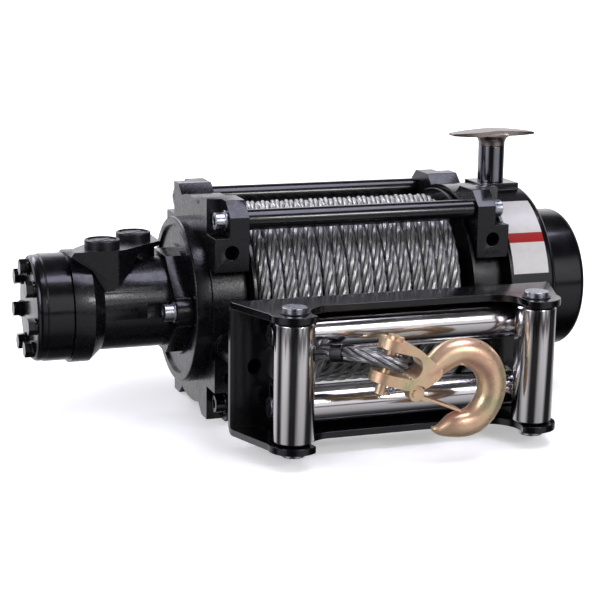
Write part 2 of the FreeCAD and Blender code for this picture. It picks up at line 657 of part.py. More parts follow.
def fairlead_frame():
    body = new_body("fairlead_frame", drum=False)
    mid = S["fairlead_z"]
    high = S["flange_half_gap"] + S["plate_thick"]
    # folded plate with its window and two mounting holes
    sketch = new_sketch(body, "XZ", S["spacer_long"])
    outline(sketch, box_outline(-S["plate_half"], mid - high, S["plate_half"], mid + high))
    outline(sketch, box_outline(-S["window_half_x"], mid - S["window_half_z"], S["window_half_x"], mid + S["window_half_z"]))
    ring(sketch, HOLE_X, mid, S["mount_hole_r"])
    ring(sketch, -HOLE_X, mid, S["mount_hole_r"])
    pad(body, sketch, S["plate_thick"])
    # top and bottom flanges: tapered ends, round ears, and a front edge set back between the ears
    ear, x, y = S["ear_r"], S["upright_x"], -UPRIGHT_Y
    slant = 0.7071
    half = [(S["plate_half"], -PLATE_FRONT), (S["plate_half"], -PLATE_FRONT - 5), (x + ear, y + 3),
            (x - ear * slant, y - ear * slant, -(ear * 1.02)),
            (x - ear * 2, -PLATE_FRONT - S["flange_mid"], 26)]
    other = [(-half[4][0], half[4][1]), (-half[3][0], half[3][1], 26), (-half[2][0], half[2][1], -(ear * 1.02)),
             (-half[1][0], half[1][1]), (-half[0][0], half[0][1])]
    for away, back in ((mid + S["flange_half_gap"], False), (mid - S["flange_half_gap"], True)):
        sketch = new_sketch(body, "XY", away)
        outline(sketch, half + other)
        ring(sketch, x, y, S["pin_r"] + S["running_gap"])
        ring(sketch, -x, y, S["pin_r"] + S["running_gap"])
        pad(body, sketch, S["plate_thick"], back=back)
    # side tabs, bent forwards out of the window's ends, hold the level rollers' pins
    inside = S["level_half"] + S["tab_gap"]
    for side in (1, -1):
        sketch = new_sketch(body, "YZ", inside * side)
        for up in (1, -1):
            z = mid + S["level_z"] * up
            tab = S["tab_r"]
            outline(sketch, [(-PLATE_FRONT + 1, z - tab), (-PLATE_FRONT + 1, z + tab), (-LEVEL_Y, z + tab), (-LEVEL_Y, z - tab, tab)])
            ring(sketch, -LEVEL_Y, z, S["pin_r"] + S["running_gap"])
        pad(body, sketch, S["plate_thick"], back=side < 0)
    outer_y = -S["spacer_long"]
    bends = [mid + high, mid - high]

    def is_bend(edge):
        box = edge.BoundBox
        return box.XLength > 250 and any(abs(box.ZMin - z.value) < 0.01 and abs(box.ZMax - z.value) < 0.01 for z in bends) \
            and abs(box.YMin - outer_y.value) < 0.01

    round_edges(body, S["bend_r"], is_bend)


def fairlead_spacers():
    body = new_body("fairlead_spacers", drum=False)
    body.AllowCompound = True
    sketch = new_sketch(body, "XZ")
    for x in (HOLE_X, -HOLE_X):
        ring(sketch, x, S["fairlead_z"], S["spacer_r"])
        ring(sketch, x, S["fairlead_z"], S["mount_hole_r"])
    pad(body, sketch, S["spacer_long"])


def roller(label, place, axis, radius, half):
    """A roller tube on its own middle point, along Z or X."""
    body = new_body(label, *place, drum=False)
    sketch = new_sketch(body, "XZ")
    bore = S["pin_r"] + S["running_gap"]
    edge = 1.5
    if axis == "Z":
        outline(sketch, [(bore, -half), (radius - edge, -half), (radius, -half + edge), (radius, half - edge),
                         (radius - edge, half), (bore, half)])
        turned(body, sketch, "V_Axis")
    else:
        outline(sketch, [(-half, bore), (-half, radius - edge), (-half + edge, radius), (half - edge, radius),
                         (half, radius - edge), (half, bore)])
        turned(body, sketch)


def pin(label, place, axis, seat):
    """A roller pin with a head at each end of its seat."""
    body = new_body(label, *place, drum=False)
    sketch = new_sketch(body, "XZ")
    head = seat + S["pin_head_high"]
    r, big = S["pin_r"], S["pin_head_r"]
    steps = [(-head, 0), (-head, big), (-seat, big), (-seat, r), (seat, r), (seat, big), (head, big), (head, 0)]
    if axis == "Z":
        outline(sketch, [(r_, along) for along, r_ in steps])
        turned(body, sketch, "V_Axis")
    else:
        outline(sketch, steps)
        turned(body, sketch)


def rollers_and_pins():
    mid = S["fairlead_z"]
    flange_seat = S["flange_half_gap"] + S["plate_thick"]
    tab_seat = S["level_half"] + S["tab_gap"] + S["plate_thick"]
    for name, side in (("left", -1), ("right", 1)):
        place = (S["upright_x"] * side, -UPRIGHT_Y, mid)
        roller(f"upright_roller_{name}", place, "Z", S["upright_r"], S["upright_half"])
        pin(f"upright_pin_{name}", place, "Z", flange_seat)
    for name, up in (("upper", 1), ("lower", -1)):
        place = (0, -LEVEL_Y, mid + S["level_z"] * up)
        roller(f"level_roller_{name}", place, "X", S["level_r"], S["level_half"])
        pin(f"level_pin_{name}", place, "X", tab_seat)


# Rope end and hook. These forms follow curves in space, so their shapes are set directly.

def number(alias):
    return S[alias].value


PIN_POINT = Vector(number("hook_x"), -number("hook_y"), number("hook_z"))
HOOK_TURN = Rotation(Vector(0, 1, 0), number("hook_turn"))


def add_feature(label, shape, place=None):
    item = DOC.addObject("Part::Feature", label)
    item.Label = label
    item.Shape = shape
    if place:
        item.Placement = place
    NODES[label] = item


def smooth_path(points):
    """One smooth curve through the points."""
    curve = Part.BSplineCurve()
    curve.interpolate(points)
    return Part.Wire(curve.toShape())


def rounded_path(points):
    """Straight runs joined by arcs that are as large as the runs allow."""
    edges, here, share = [], points[0], 0.45
    for before, corner, after in zip(points, points[1:], points[2:]):
        run_in, run_out = corner - before, after - corner
        turn = run_in.getAngle(run_out)
        setback = share * min(run_in.Length, run_out.Length)
        radius = setback / math.tan(turn / 2)
        start = corner - run_in.normalize() * setback
        end = corner + run_out.normalize() * setback
        inward = (run_out - run_in).normalize()
        middle = corner + inward * (radius / math.cos(turn / 2) - radius)
        edges.append(Part.LineSegment(here, start).toShape())
        edges.append(Part.Arc(start, middle, end).toShape())
        here = end
    edges.append(Part.LineSegment(here, points[-1]).toShape())
    return Part.Wire(edges)


def tube(wire, radius):
    """A round bar along a wire."""
    edge = wire.OrderedEdges[0]
    section = Part.Wire(Part.Circle(wire.OrderedVertexes[0].Point, edge.tangentAt(edge.FirstParameter), radius).toShape())
    return wire.makePipeShell([section], True, True)


def eye_place():
    """The eye lies square to the clevis pin, with its legs running back towards the rollers."""
    legs = Rotation(Vector(0, 0, 1), 180 - number("eye_turn"))
    return Placement(PIN_POINT, HOOK_TURN.multiply(legs))


def droop_at(along):
    """How far the eye hangs below the clevis pin's middle, growing with the square of the way."""
    return -number("eye_droop") * (along / number("eye_long")) ** 2


def ferrule_place():
    """The ferrule's start, in line with the eye's drooping legs."""
    long = number("eye_long")
    slope = math.degrees(math.atan(2 * number("eye_droop") / long))
    return eye_place().multiply(Placement(Vector(long, 0, droop_at(long)), Rotation(Vector(0, 1, 0), slope)))


def rope_route():
    """Points of the rope's middle line, from where it leaves the pack to the ferrule of its eye."""
    away = number("pack_r") + number("rope_r") + 0.3
    drum_y = number("half_depth")
    gap = Vector(number("rope_x"), -LEVEL_Y.value, number("fairlead_z") + number("rope_rise"))
    to_gap = Vector(0, gap.y - drum_y, gap.z)
    below = math.atan2(-to_gap.z, -to_gap.y) + math.acos(away / to_gap.Length)
    leave = Vector(gap.x, drum_y - away * math.cos(below), -away * math.sin(below))
    end = number("ferrule_long")
    behind = ferrule_place().multVec(Vector(end + 2.4 * number("rope_r"), 0, 0))
    return [leave, gap, behind, ferrule_place().multVec(Vector(end, 0, 0))]


def eye_points():
    """The eye's middle line in its own plane: a drop that is round at the pin and closes at the ferrule."""
    long, close, bend, wide = number("eye_long"), number("rope_r") + 0.2, number("eye_round"), number("eye_wide")
    side = [(long, close), (long * 0.85, close * 1.25), (long * 0.62, wide * 0.85), (long * 0.35, wide),
            (0, bend * 1.04), (-bend * 0.707, bend * 0.707)]
    whole = side + [(-bend, 0)] + [(x, -y) for x, y in reversed(side)]
    return [Vector(x, y, droop_at(max(x, 0))) for x, y in whole]


def rope_end():
    """The rope from the pack to its eye, the eye round the clevis pin, and the ferrule that closes it."""
    rope, long = number("rope_r"), number("ferrule_long")
    add_feature("rope_tail", tube(rounded_path(rope_route()), rope))
    loop = tube(smooth_path(eye_points()), rope)
    loop.Placement = eye_place()
    beyond = Part.makeBox(20, 60, 60, Vector(0, -30, -30))
    beyond.Placement = ferrule_place()
    loop = max(loop.cut(beyond).Solids, key=lambda solid: solid.Volume)
    add_feature("rope_eye", loop)
    half_wide, half_high = 2 * rope + 2, rope + 2
    sleeve = Part.makeBox(long, 2 * half_wide, 2 * half_high, Vector(0, -half_wide, -half_high))
    edges = [edge for edge in sleeve.Edges if abs(edge.tangentAt(0).x) > 0.9]
    add_feature("rope_ferrule", sleeve.makeFillet(half_high - 1, edges), ferrule_place())


def hook_section(centre, heading, wide, thick):
    """An ellipse across the hook's middle line, which lies in the local XZ plane."""
    across = heading.cross(Vector(0, 1, 0)).normalize()
    count = 16
    points = []
    for i in range(count):
        angle = 2 * math.pi * i / count
        points.append(centre + across * wide * math.cos(angle) + Vector(0, 1, 0) * thick * math.sin(angle))
    curve = Part.BSplineCurve()
    curve.interpolate(points, PeriodicFlag=True)
    return Part.Wire(curve.toShape())


def hook_line():
    """The hook's middle line from its neck round the bow to the tip, with half width and half thickness."""
    centre, bow = Vector(number("bow_x"), 0, number("bow_z")), number("bow_r")
    full = number("bow_half")
    throat = number("clevis_throat")
    line = [(Vector(throat + 4, 0, -3), full - 1, full - 3), (Vector(throat + 15, 0, 6.5), full - 2, full - 2.5)]
    # turn round the bow in degrees, share of its radius, share of its width
    for angle, out, share in ((112, 1.0, 0.9), (88, 1.0, 0.97), (60, 1.0, 1.0), (32, 1.0, 0.99), (2, 1.01, 0.97),
                              (-28, 1.05, 0.97), (-56, 1.09, 0.95), (-80, 1.1, 0.84)):
        turn = math.radians(angle)
        line.append((centre + Vector(math.cos(turn), 0, math.sin(turn)) * bow * out, full * share, full * share * 0.92))
    tip = Vector(number("tip_x"), 0, number("tip_z"))
    line.append((tip + Vector(9, 0, 1.5), full * 0.5, full * 0.5))
    line.append((tip, full * 0.15, full * 0.2))
    return line


def clevis():
    """The fork: its side view and its plan, each drawn out and kept where they meet, less the gap."""
    gap, ear, throat = number("clevis_gap") / 2, number("clevis_ear"), number("clevis_throat")
    boss, face = number("clevis_boss_r"), gap + ear
    neck = throat + 9
    curve = Part.BSplineCurve()
    curve.interpolate([Vector(x, -boss, z) for x, z in (
        (-boss, face), (0, face), (throat * 0.37, face - 0.4), (throat * 0.74, face - 2.6), (throat + 3, face - 7),
        (neck + 2, face - 11), (neck + 10, 2), (neck + 8, -5), (neck + 2, -12), (throat + 3, -face + 1.5),
        (throat * 0.74, -face - 0.6), (throat * 0.3, -face - 0.3), (0, -face), (-boss, -face))])
    ends = curve.EndPoint, curve.StartPoint
    side = Part.Face(Part.Wire([curve.toShape(), Part.LineSegment(*ends).toShape()]))
    side = side.extrude(Vector(0, 2 * boss, 0))
    plan = Part.makeCylinder(boss, 80, Vector(0, 0, -40))
    narrow = boss - 3
    corners = [(0, -boss), (throat, -narrow), (neck + 12, -narrow), (neck + 12, narrow), (throat, narrow), (0, boss)]
    corners = [Vector(x, y, -40) for x, y in corners]
    plan = plan.fuse(Part.Face(Part.makePolygon(corners + corners[:1])).extrude(Vector(0, 0, 80)))
    across = Vector(0, 1, 0)
    mouth = Part.makeBox(throat - gap + 40, 60, 2 * gap, Vector(-40, -30, -gap))
    mouth = mouth.fuse(Part.makeCylinder(gap, 60, Vector(throat - gap, -30, 0), across))
    return side.common(plan), mouth


def hook():
    """A forged clevis hook: bow, neck, fork and a boss for its latch."""
    line = hook_line()
    sections = []
    for i, (point, wide, thick) in enumerate(line):
        heading = line[min(i + 1, len(line) - 1)][0] - line[max(i - 1, 0)][0]
        sections.append(hook_section(point, heading.normalize(), wide, thick))
    bow = Part.makeLoft(sections, True, False)
    fork, mouth = clevis()
    gap, across = number("running_gap"), Vector(0, 1, 0)
    latch_at, latch_r, half = Vector(number("latch_x"), 0, number("latch_z")), number("latch_boss_r"), number("latch_boss_half")
    # room for the latch's cheeks beside the boss, at rest and open
    room = [Part.makeCylinder(latch_r + 0.9, 20, latch_at + Vector(0, low, 0), across) for low in (half, -half - 20)]
    # flat seats for the clevis pin's head and washer
    seat = 5
    for low in (number("clevis_gap") / 2 + number("clevis_ear"), -number("clevis_gap") / 2 - number("clevis_ear") - seat):
        room.append(Part.makeCylinder(number("clevis_pin_r") * 2, seat, Vector(0, 0, low)))
    bow = bow.fuse(fork).cut(room)
    pieces = [Part.makeCylinder(latch_r - 0.5, 2 * half, latch_at - Vector(0, half, 0), across),
              Part.makeBox(latch_r, 2 * half, latch_r * 1.8, latch_at + Vector(-latch_r * 0.5, -half, 0))]
    forging = bow.multiFuse(pieces)
    pin_hole = Part.makeCylinder(number("clevis_pin_r") + gap, 80, Vector(0, 0, -40), Vector(0, 0, 1))
    pivot_hole = Part.makeCylinder(number("latch_pin_r") + gap, 60, latch_at - Vector(0, 30, 0), across)
    place = Placement(PIN_POINT, HOOK_TURN)
    add_feature("hook_body", forging.cut([pin_hole, pivot_hole, mouth]).removeSplitter(), place)
    clevis_pin(place, number("clevis_gap") / 2 + number("clevis_ear"))
    latch(place, latch_at, latch_r, half)


def clevis_pin(place, face):
    """A headed pin through both ears, kept in by a split pin below the lower ear."""
    r, gap = number("clevis_pin_r"), number("running_gap")
    split_r = number("split_pin_r")
    head, below = 3.0, 10.0
    shank = Part.makeCylinder(r, 2 * face + below, Vector(0, 0, -face - below), Vector(0, 0, 1))
    shank = shank.fuse(Part.makeCylinder(r + 2.5, head, Vector(0, 0, face), Vector(0, 0, 1))).removeSplitter()
    level = -face - below / 2
    hole = Part.makeCylinder(split_r + gap, 4 * r, Vector(-2 * r, 0, level), Vector(1, 0, 0))
    add_feature("clevis_pin", shank.cut(hole), place)
    split = Part.makeCylinder(split_r, 3 * r, Vector(-1.5 * r, 0, level), Vector(1, 0, 0))
    loop = Part.makeTorus(2.6, split_r, Vector(1.5 * r + 2.6, 0, level), Vector(0, 1, 0))
    add_feature("split_pin", split.fuse(loop), place)


def latch(place, at, boss_r, half):
    """A sheet latch: two cheeks beside the hook's boss and a tongue that closes the throat."""
    sheet, gap = number("latch_thick"), 0.3
    inside = half + gap
    outside = inside + sheet
    turn = Rotation(Vector(0, 1, 0), number("latch_droop"))
    pieces = []
    for low in (inside, -outside):
        pieces.append(Part.makeCylinder(boss_r, sheet, Vector(0, low, 0), Vector(0, 1, 0)))
        pieces.append(Part.makeBox(boss_r + 6, sheet, 4, Vector(0, low, -4)))
    pieces.append(Part.makeBox(number("latch_long") - boss_r - 1, 2 * outside, sheet, Vector(boss_r + 1, -outside, -sheet)))
    shape = pieces[0].multiFuse(pieces[1:]).removeSplitter()
    hole = Part.makeCylinder(number("latch_pin_r") + number("running_gap"), 60, Vector(0, -30, 0), Vector(0, 1, 0))
    add_feature("hook_latch", shape.cut(hole), place.multiply(Placement(at, turn)))
    rivet = Part.makeCylinder(number("latch_pin_r"), 2 * outside, at - Vector(0, outside, 0), Vector(0, 1, 0))
    for low in (outside, -outside - 1.5):
        rivet = rivet.fuse(Part.makeCylinder(number("latch_pin_r") + 1.5, 1.5, at + Vector(0, low, 0), Vector(0, 1, 0)))
    add_feature("latch_pin", rivet.removeSplitter(), place)


def check_and_write():
    DOC.recompute()
    os.makedirs("parts", exist_ok=True)
    for item in DOC.Objects:
        if "Invalid" in item.State or "Error" in item.State:
            raise RuntimeError(f"{item.Name} failed: {item.State}")
    for label, item in NODES.items():
        if item.Shape.isNull() or not item.Shape.isValid():
            raise RuntimeError(f"{label} has no valid shape")
    for label, item in NODES.items():
        item.Shape.exportStep(f"parts/{label}.step")
        box = item.Shape.BoundBox
        print(f"{label}: {len(item.Shape.Solids)} solids, {box.XLength:.0f} x {box.YLength:.0f} x {box.ZLength:.0f}")


motor_adapter()
motor_valve_housing()
motor_ring_and_cover()
port_plugs()
socket_screws("motor_flange_screws", [(S["motor_flange_half"], 0), (-S["motor_flange_half"], 0)], FLANGE_END, -1)
end_housing("left_end_housing", -1)
end_housing("right_end_housing", 1)
corners = [(S["rod_y"] * y, S["rod_z"] * z) for y in (1, -1) for z in (1, -1)]
socket_screws("tie_rod_screws_left", corners, -(OUTER - S["pocket_wide"]), -1)
socket_screws("tie_rod_screws_right", corners, OUTER - S["pocket_wide"], 1)
tie_rods()
gearbox()
clutch()
drum_and_rope()
fairlead_frame()
fairlead_spacers()
rollers_and_pins()
rope_end()
hook()
check_and_write()
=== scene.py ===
"""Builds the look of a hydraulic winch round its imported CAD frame, as a Blender add-on."""

import json
import math
import random

import bmesh
import bpy
from bpy.props import FloatProperty, FloatVectorProperty, IntProperty, PointerProperty
from bpy.types import Operator, Panel, PropertyGroup
from mathutils import Matrix, Vector


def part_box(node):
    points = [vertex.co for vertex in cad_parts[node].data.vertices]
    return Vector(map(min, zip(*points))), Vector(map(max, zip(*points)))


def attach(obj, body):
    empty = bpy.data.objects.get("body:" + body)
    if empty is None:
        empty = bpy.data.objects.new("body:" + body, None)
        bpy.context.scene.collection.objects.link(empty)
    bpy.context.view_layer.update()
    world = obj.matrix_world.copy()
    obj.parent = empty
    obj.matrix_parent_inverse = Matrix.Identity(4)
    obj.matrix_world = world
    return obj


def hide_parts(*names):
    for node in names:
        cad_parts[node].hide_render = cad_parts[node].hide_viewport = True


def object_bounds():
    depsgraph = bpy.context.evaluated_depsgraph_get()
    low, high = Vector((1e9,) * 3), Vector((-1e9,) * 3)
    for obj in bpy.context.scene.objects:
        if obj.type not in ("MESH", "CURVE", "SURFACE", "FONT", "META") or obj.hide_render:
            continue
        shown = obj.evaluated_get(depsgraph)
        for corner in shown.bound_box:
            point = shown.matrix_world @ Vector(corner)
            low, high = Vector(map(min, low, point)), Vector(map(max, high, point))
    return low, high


bl_info = {
    "name": "Hydraulic winch",
    "version": (1, 0, 0),
    "blender": (4, 5, 0),
    "location": "View3D > Sidebar > Winch",
    "description": "Models and finishes a hydraulic winch round its packed CAD frame",
    "category": "Object",
}

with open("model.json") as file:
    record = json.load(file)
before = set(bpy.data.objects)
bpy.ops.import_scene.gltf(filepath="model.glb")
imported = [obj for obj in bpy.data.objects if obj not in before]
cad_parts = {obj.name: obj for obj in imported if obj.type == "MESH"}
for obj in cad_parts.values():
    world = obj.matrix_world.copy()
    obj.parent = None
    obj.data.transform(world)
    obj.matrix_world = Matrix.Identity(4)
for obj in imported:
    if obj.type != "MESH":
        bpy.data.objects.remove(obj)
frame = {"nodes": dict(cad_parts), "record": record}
CAD_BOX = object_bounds()

MM = 0.001
FULL_TURN = 2 * math.pi


def middle_of(node):
    low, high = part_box(node)
    return (low + high) / 2


def half_of(node):
    low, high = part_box(node)
    return (high - low) / 2


DRUM_MIDDLE = middle_of("drum")
PACK_RADIUS = half_of("rope_pack").z
JOINTS = {joint["name"]: joint for joint in frame["record"]["behaviour"]["joints"]}


# Colours


def linear(colour):
    """Linear RGBA of an sRGB colour such as #c0ffee."""
    channels = [int(colour[i : i + 2], 16) / 255 for i in (1, 3, 5)]
    return [c / 12.92 if c <= 0.04045 else ((c + 0.055) / 1.055) ** 2.4 for c in channels] + [1.0]


def colour_of(name):
    """A colour that the panel holds, as linear RGBA."""
    return [*getattr(bpy.context.scene.winch_colours, name), 1.0]


class WinchSizes(PropertyGroup):
    rope_radius: FloatProperty(
        name="Rope radius", description="Outside radius of the wire rope", default=6.0 * MM, unit="LENGTH"
    )
    rope_lay: FloatProperty(
        name="Rope lay", description="Length in which a strand goes once round the rope", default=90 * MM,
        unit="LENGTH",
    )
    strand_count: IntProperty(name="Strands", description="Strands laid round the rope's core", default=6)
    wrap_pitch: FloatProperty(
        name="Wrap pitch", description="Rope turns apart along the drum", default=12.2 * MM, unit="LENGTH"
    )
    casting_edge: FloatProperty(
        name="Casting edge", description="Rounding of a cast edge", default=1.6 * MM, unit="LENGTH"
    )
    machined_edge: FloatProperty(
        name="Machined edge", description="Broken edge of a machined part", default=0.7 * MM, unit="LENGTH"
    )


def colour_property(name, description, colour):
    return FloatVectorProperty(
        name=name, description=description, subtype="COLOR", size=3, min=0, max=1, default=linear(colour)[:3]
    )


class WinchColours(PropertyGroup):
    enamel: colour_property("Enamel", "Gloss black enamel on castings and steel", "#08080a")
    rope_steel: colour_property("Rope steel", "Galvanised wire of the rope", "#d4d4cf")
    stainless: colour_property("Stainless", "Polished rollers", "#d9d6d6")
    zinc: colour_property("Zinc", "Bright zinc on screws and pins", "#c4c7cc")
    chromate: colour_property("Chromate", "Yellow zinc on the hook", "#dcb894")
    nickel: colour_property("Nickel", "Satin nickel on the clutch handle", "#a1968f")
    plastic: colour_property("Plastic", "Moulded port plugs", "#15151a")
    label_paper: colour_property("Label", "Plain label on the gear housing", "#c6c4bf")
    label_red: colour_property("Label stripe", "Stripe across the label", "#97180f")
    floor: colour_property("Floor", "Pale studio floor", "#f4f4f5")


# Materials


NOISE, RANGE, MIX, MATHS = "ShaderNodeTexNoise", "ShaderNodeMapRange", "ShaderNodeMix", "ShaderNodeMath"
COORDINATES, SPLIT, LIGHT_PATH = "ShaderNodeTexCoord", "ShaderNodeSeparateXYZ", "ShaderNodeLightPath"
BLEND = {"data_type": "RGBA"}
TINT = {"data_type": "RGBA", "blend_type": "MULTIPLY"}
TIMES = {"operation": "MULTIPLY"}
WHITE = (1, 1, 1, 1)


def fill(owner, socket, value):
    """Links a socket, or sets its own value."""
    if isinstance(value, bpy.types.NodeSocket):
        owner.node_tree.links.new(value, socket)
    else:
        socket.default_value = value


def add_node(owner, kind, output, settings=None, **inputs):
    """Adds a shader node, sets its properties, fills its inputs and gives one of its outputs."""
    node = owner.node_tree.nodes.new(kind)
    for name, value in (settings or {}).items():
        setattr(node, name, value)
    for name, value in inputs.items():
        fill(owner, node.inputs[int(name[1:]) if name[0] == "_" else name.replace("_", " ")], value)
    return node.outputs[output]


def set_stops(ramp, stops):
    """Gives a colour ramp its (position, colour) stops."""
    while len(ramp.elements) < len(stops):
        ramp.elements.new(0.5)
    for element, (position, colour) in zip(ramp.elements, stops):
        element.position, element.color = position, colour


def new_material(name):
    """A material with nothing but its Principled shader, and the place of its points on the object."""
    material = bpy.data.materials.new(name)
    material.use_nodes = True
    place = add_node(material, COORDINATES, "Object")
    return material, material.node_tree.nodes["Principled BSDF"], place


def spots(millimetres):
    """The scale of a noise whose spots are about this many millimetres across."""
    return 1 / (millimetres * MM)


def mottled(material, place, millimetres, low=0.0, high=1.0, detail=3):
    """A value that drifts from low to high over spots about this many millimetres across."""
    noise = add_node(material, NOISE, "Fac", Vector=place, Scale=spots(millimetres), Detail=detail)
    # a noise seldom leaves 0.3 to 0.7
    return add_node(
        material, RANGE, "Result", Value=noise, From_Min=0.3, From_Max=0.7, To_Min=low, To_Max=high
    )


def finish_surface(material, shader, height, depth_mm, **sockets):
    """Links a bump of this depth and fills the shader's own sockets."""
    if height is not None:
        sockets["Normal"] = add_node(
            material, "ShaderNodeBump", "Normal", Height=height, Distance=depth_mm * MM, Strength=1.0
        )
    for name, value in sockets.items():
        fill(material, shader.inputs[name.replace("_", " ")], value)
    return material


def enamel_on_casting():
    """Gloss black enamel over cast iron: the paint follows the pebbled skin, so its gleam breaks up."""
    material, shader, place = new_material("gloss_enamel_on_cast_iron")
    skin = add_node(material, NOISE, "Fac", Vector=place, Scale=spots(2.2), Detail=4)
    shade = mottled(material, place, 9)
    tint = add_node(material, MIX, 2, BLEND, _0=shade, _6=colour_of("enamel"), _7=linear("#0d0d10"))
    return finish_surface(
        material, shader, skin, 0.1, Base_Color=tint, Roughness=mottled(material, place, 5, 0.2, 0.34),
        Specular_IOR_Level=0.36, Coat_Weight=0.2, Coat_Roughness=0.12,
    )


def enamel_on_steel():
    """Gloss black enamel on machined steel: a smooth film with faint orange peel."""
    material, shader, place = new_material("gloss_enamel_on_machined_steel")
    peel = add_node(material, NOISE, "Fac", Vector=place, Scale=spots(1.6), Detail=2)
    return finish_surface(
        material, shader, peel, 0.02, Base_Color=colour_of("enamel"),
        Roughness=mottled(material, place, 14, 0.16, 0.26), Specular_IOR_Level=0.36, Coat_Weight=0.3,
        Coat_Roughness=0.08,
    )


# wires seen round a strand, and how far they turn round it in radians a metre
WIRES_IN_STRAND = 8.0
WIRE_TWIST = 900.0


def wire_rope_steel():
    """Galvanised steel wire laid in strands: bright crowns, and painted shade between the strands."""
    material, shader, place = new_material("galvanised_wire_rope")
    strand = add_node(material, "ShaderNodeAttribute", "Vector", {"attribute_name": "strand_place"})
    out, side, along = add_node(material, SPLIT, "X", Vector=strand).node.outputs
    turn = add_node(material, MATHS, 0, {"operation": "ARCTAN2"}, _0=side, _1=out)
    # the wires run back against the strands, drawn at about twice their real width so that they show
    round_strand = add_node(material, MATHS, 0, TIMES, _0=turn, _1=WIRES_IN_STRAND)
    along_strand = add_node(material, MATHS, 0, TIMES, _0=along, _1=WIRE_TWIST)
    phase = add_node(material, MATHS, 0, {"operation": "ADD"}, _0=round_strand, _1=along_strand)
    wave = add_node(material, MATHS, 0, {"operation": "SINE"}, _0=phase)
    wires = add_node(material, RANGE, "Result", Value=wave, From_Min=-1, From_Max=0.3)
    # X of the strand's own place is 1 on its crown and -1 at the rope's core
    # painted shade: each strand darkens to near black towards the rope's core, in the valleys between the
    # strands
    crown = add_node(material, RANGE, "Result", Value=out, From_Min=-0.7, From_Max=0.45)
    wire = add_node(material, MIX, 2, BLEND, _0=wires, _6=linear("#848487"), _7=colour_of("rope_steel"))
    shown = add_node(material, MATHS, 0, TIMES, _0=crown, _1=mottled(material, place, 22, 0.8, 1.0))
    tint = add_node(material, MIX, 2, BLEND, _0=shown, _6=linear("#1d1d1f"), _7=wire)
    return finish_surface(material, shader, wires, 0.25, Base_Color=tint, Roughness=0.34, Metallic=0.9)


def polished_stainless():
    """Stainless tube, turned and polished: mirror bright and faintly clouded."""
    material, shader, place = new_material("polished_stainless_tube")
    haze = add_node(material, NOISE, "Fac", Vector=place, Scale=spots(1.2), Detail=2)
    return finish_surface(
        material, shader, haze, 0.004, Base_Color=colour_of("stainless"),
        Roughness=mottled(material, place, 30, 0.1, 0.17), Metallic=1.0,
    )


def bright_zinc():
    """Bright zinc plate on steel: pale, a little cloudy, with soft highlights."""
    material, shader, place = new_material("bright_zinc_plate")
    skin = add_node(material, NOISE, "Fac", Vector=place, Scale=spots(0.8), Detail=3)
    cloud = mottled(material, place, 2.5)
    tint = add_node(material, MIX, 2, BLEND, _0=cloud, _6=colour_of("zinc"), _7=linear("#9fa3aa"))
    return finish_surface(
        material, shader, skin, 0.02, Base_Color=tint, Roughness=mottled(material, place, 4, 0.22, 0.38),
        Metallic=1.0,
    )


def yellow_chromate():
    """Yellow zinc chromate on a forging: gold that drifts to rose and green, over a faintly pitted skin."""
    material, shader, place = new_material("yellow_chromate_on_forging")
    film = add_node(material, "ShaderNodeValToRGB", "Color", Fac=mottled(material, place, 26, detail=2))
    stops = [(0.0, "#dfae98"), (0.3, "#eac4a0"), (0.55, "#eecfab"), (0.8, "#dccb9f"), (1.0, "#b9bd93")]
    set_stops(film.node.color_ramp, [(position, linear(colour)) for position, colour in stops])
    speck = mottled(material, place, 1.1, 0.0, 0.5)
    tint = add_node(material, MIX, 2, BLEND, _0=speck, _6=film, _7=colour_of("chromate"))
    pits = add_node(material, NOISE, "Fac", Vector=place, Scale=spots(1.3), Detail=3)
    return finish_surface(
        material, shader, pits, 0.12, Base_Color=tint, Roughness=mottled(material, place, 6, 0.26, 0.38),
        Metallic=0.72,
    )


def blued_steel():
    """The clutch post's turned steel, blued black: it mirrors the room in dark bands."""
    material, shader, place = new_material("blued_steel_post")
    turned = add_node(material, NOISE, "Fac", Vector=place, Scale=spots(1.5), Detail=3)
    return finish_surface(
        material, shader, turned, 0.01, Base_Color=linear("#8a8a92"),
        Roughness=mottled(material, place, 6, 0.08, 0.18), Metallic=1.0,
    )


def steel_in_painted_shade():
    """The pressed ferrule's bare steel, painted dark for the shade it lies in."""
    material, shader, place = new_material("oiled_steel_ferrule")
    pressed = add_node(material, NOISE, "Fac", Vector=place, Scale=spots(1.5), Detail=3)
    return finish_surface(
        material, shader, pressed, 0.03, Base_Color=linear("#4a4a4d"),
        Roughness=mottled(material, place, 3, 0.26, 0.4), Metallic=1.0,
    )


def satin_nickel():
    """Satin nickel: brushed lengthways, warm grey."""
    material, shader, place = new_material("satin_nickel_handle")
    stretched = add_node(material, "ShaderNodeMapping", "Vector", Vector=place, Scale=(0.12, 1.0, 1.0))
    brushed = add_node(material, NOISE, "Fac", Vector=stretched, Scale=spots(0.7), Detail=2)
    return finish_surface(
        material, shader, brushed, 0.015, Base_Color=colour_of("nickel"),
        Roughness=mottled(material, stretched, 0.7, 0.26, 0.42, detail=2), Metallic=1.0,
    )


def moulded_plastic():
    """Moulded black plastic of the port plugs, with a spark-eroded grain."""
    material, shader, place = new_material("moulded_plug_plastic")
    eroded = add_node(material, NOISE, "Fac", Vector=place, Scale=spots(0.7), Detail=3)
    return finish_surface(
        material, shader, eroded, 0.04, Base_Color=colour_of("plastic"),
        Roughness=mottled(material, place, 3, 0.3, 0.45),
    )


def label_vinyl(name, colour):
    """Vinyl film: flat colour under a clear coat, faintly mottled."""
    material, shader, place = new_material(name)
    shade = [c * 0.86 for c in colour[:3]] + [1.0]
    tint = add_node(material, MIX, 2, BLEND, _0=mottled(material, place, 6, 0, 0.5), _6=colour, _7=shade)
    film = add_node(material, NOISE, "Fac", Vector=place, Scale=spots(2), Detail=3)
    return finish_surface(material, shader, film, 0.01, Base_Color=tint, Roughness=0.28)


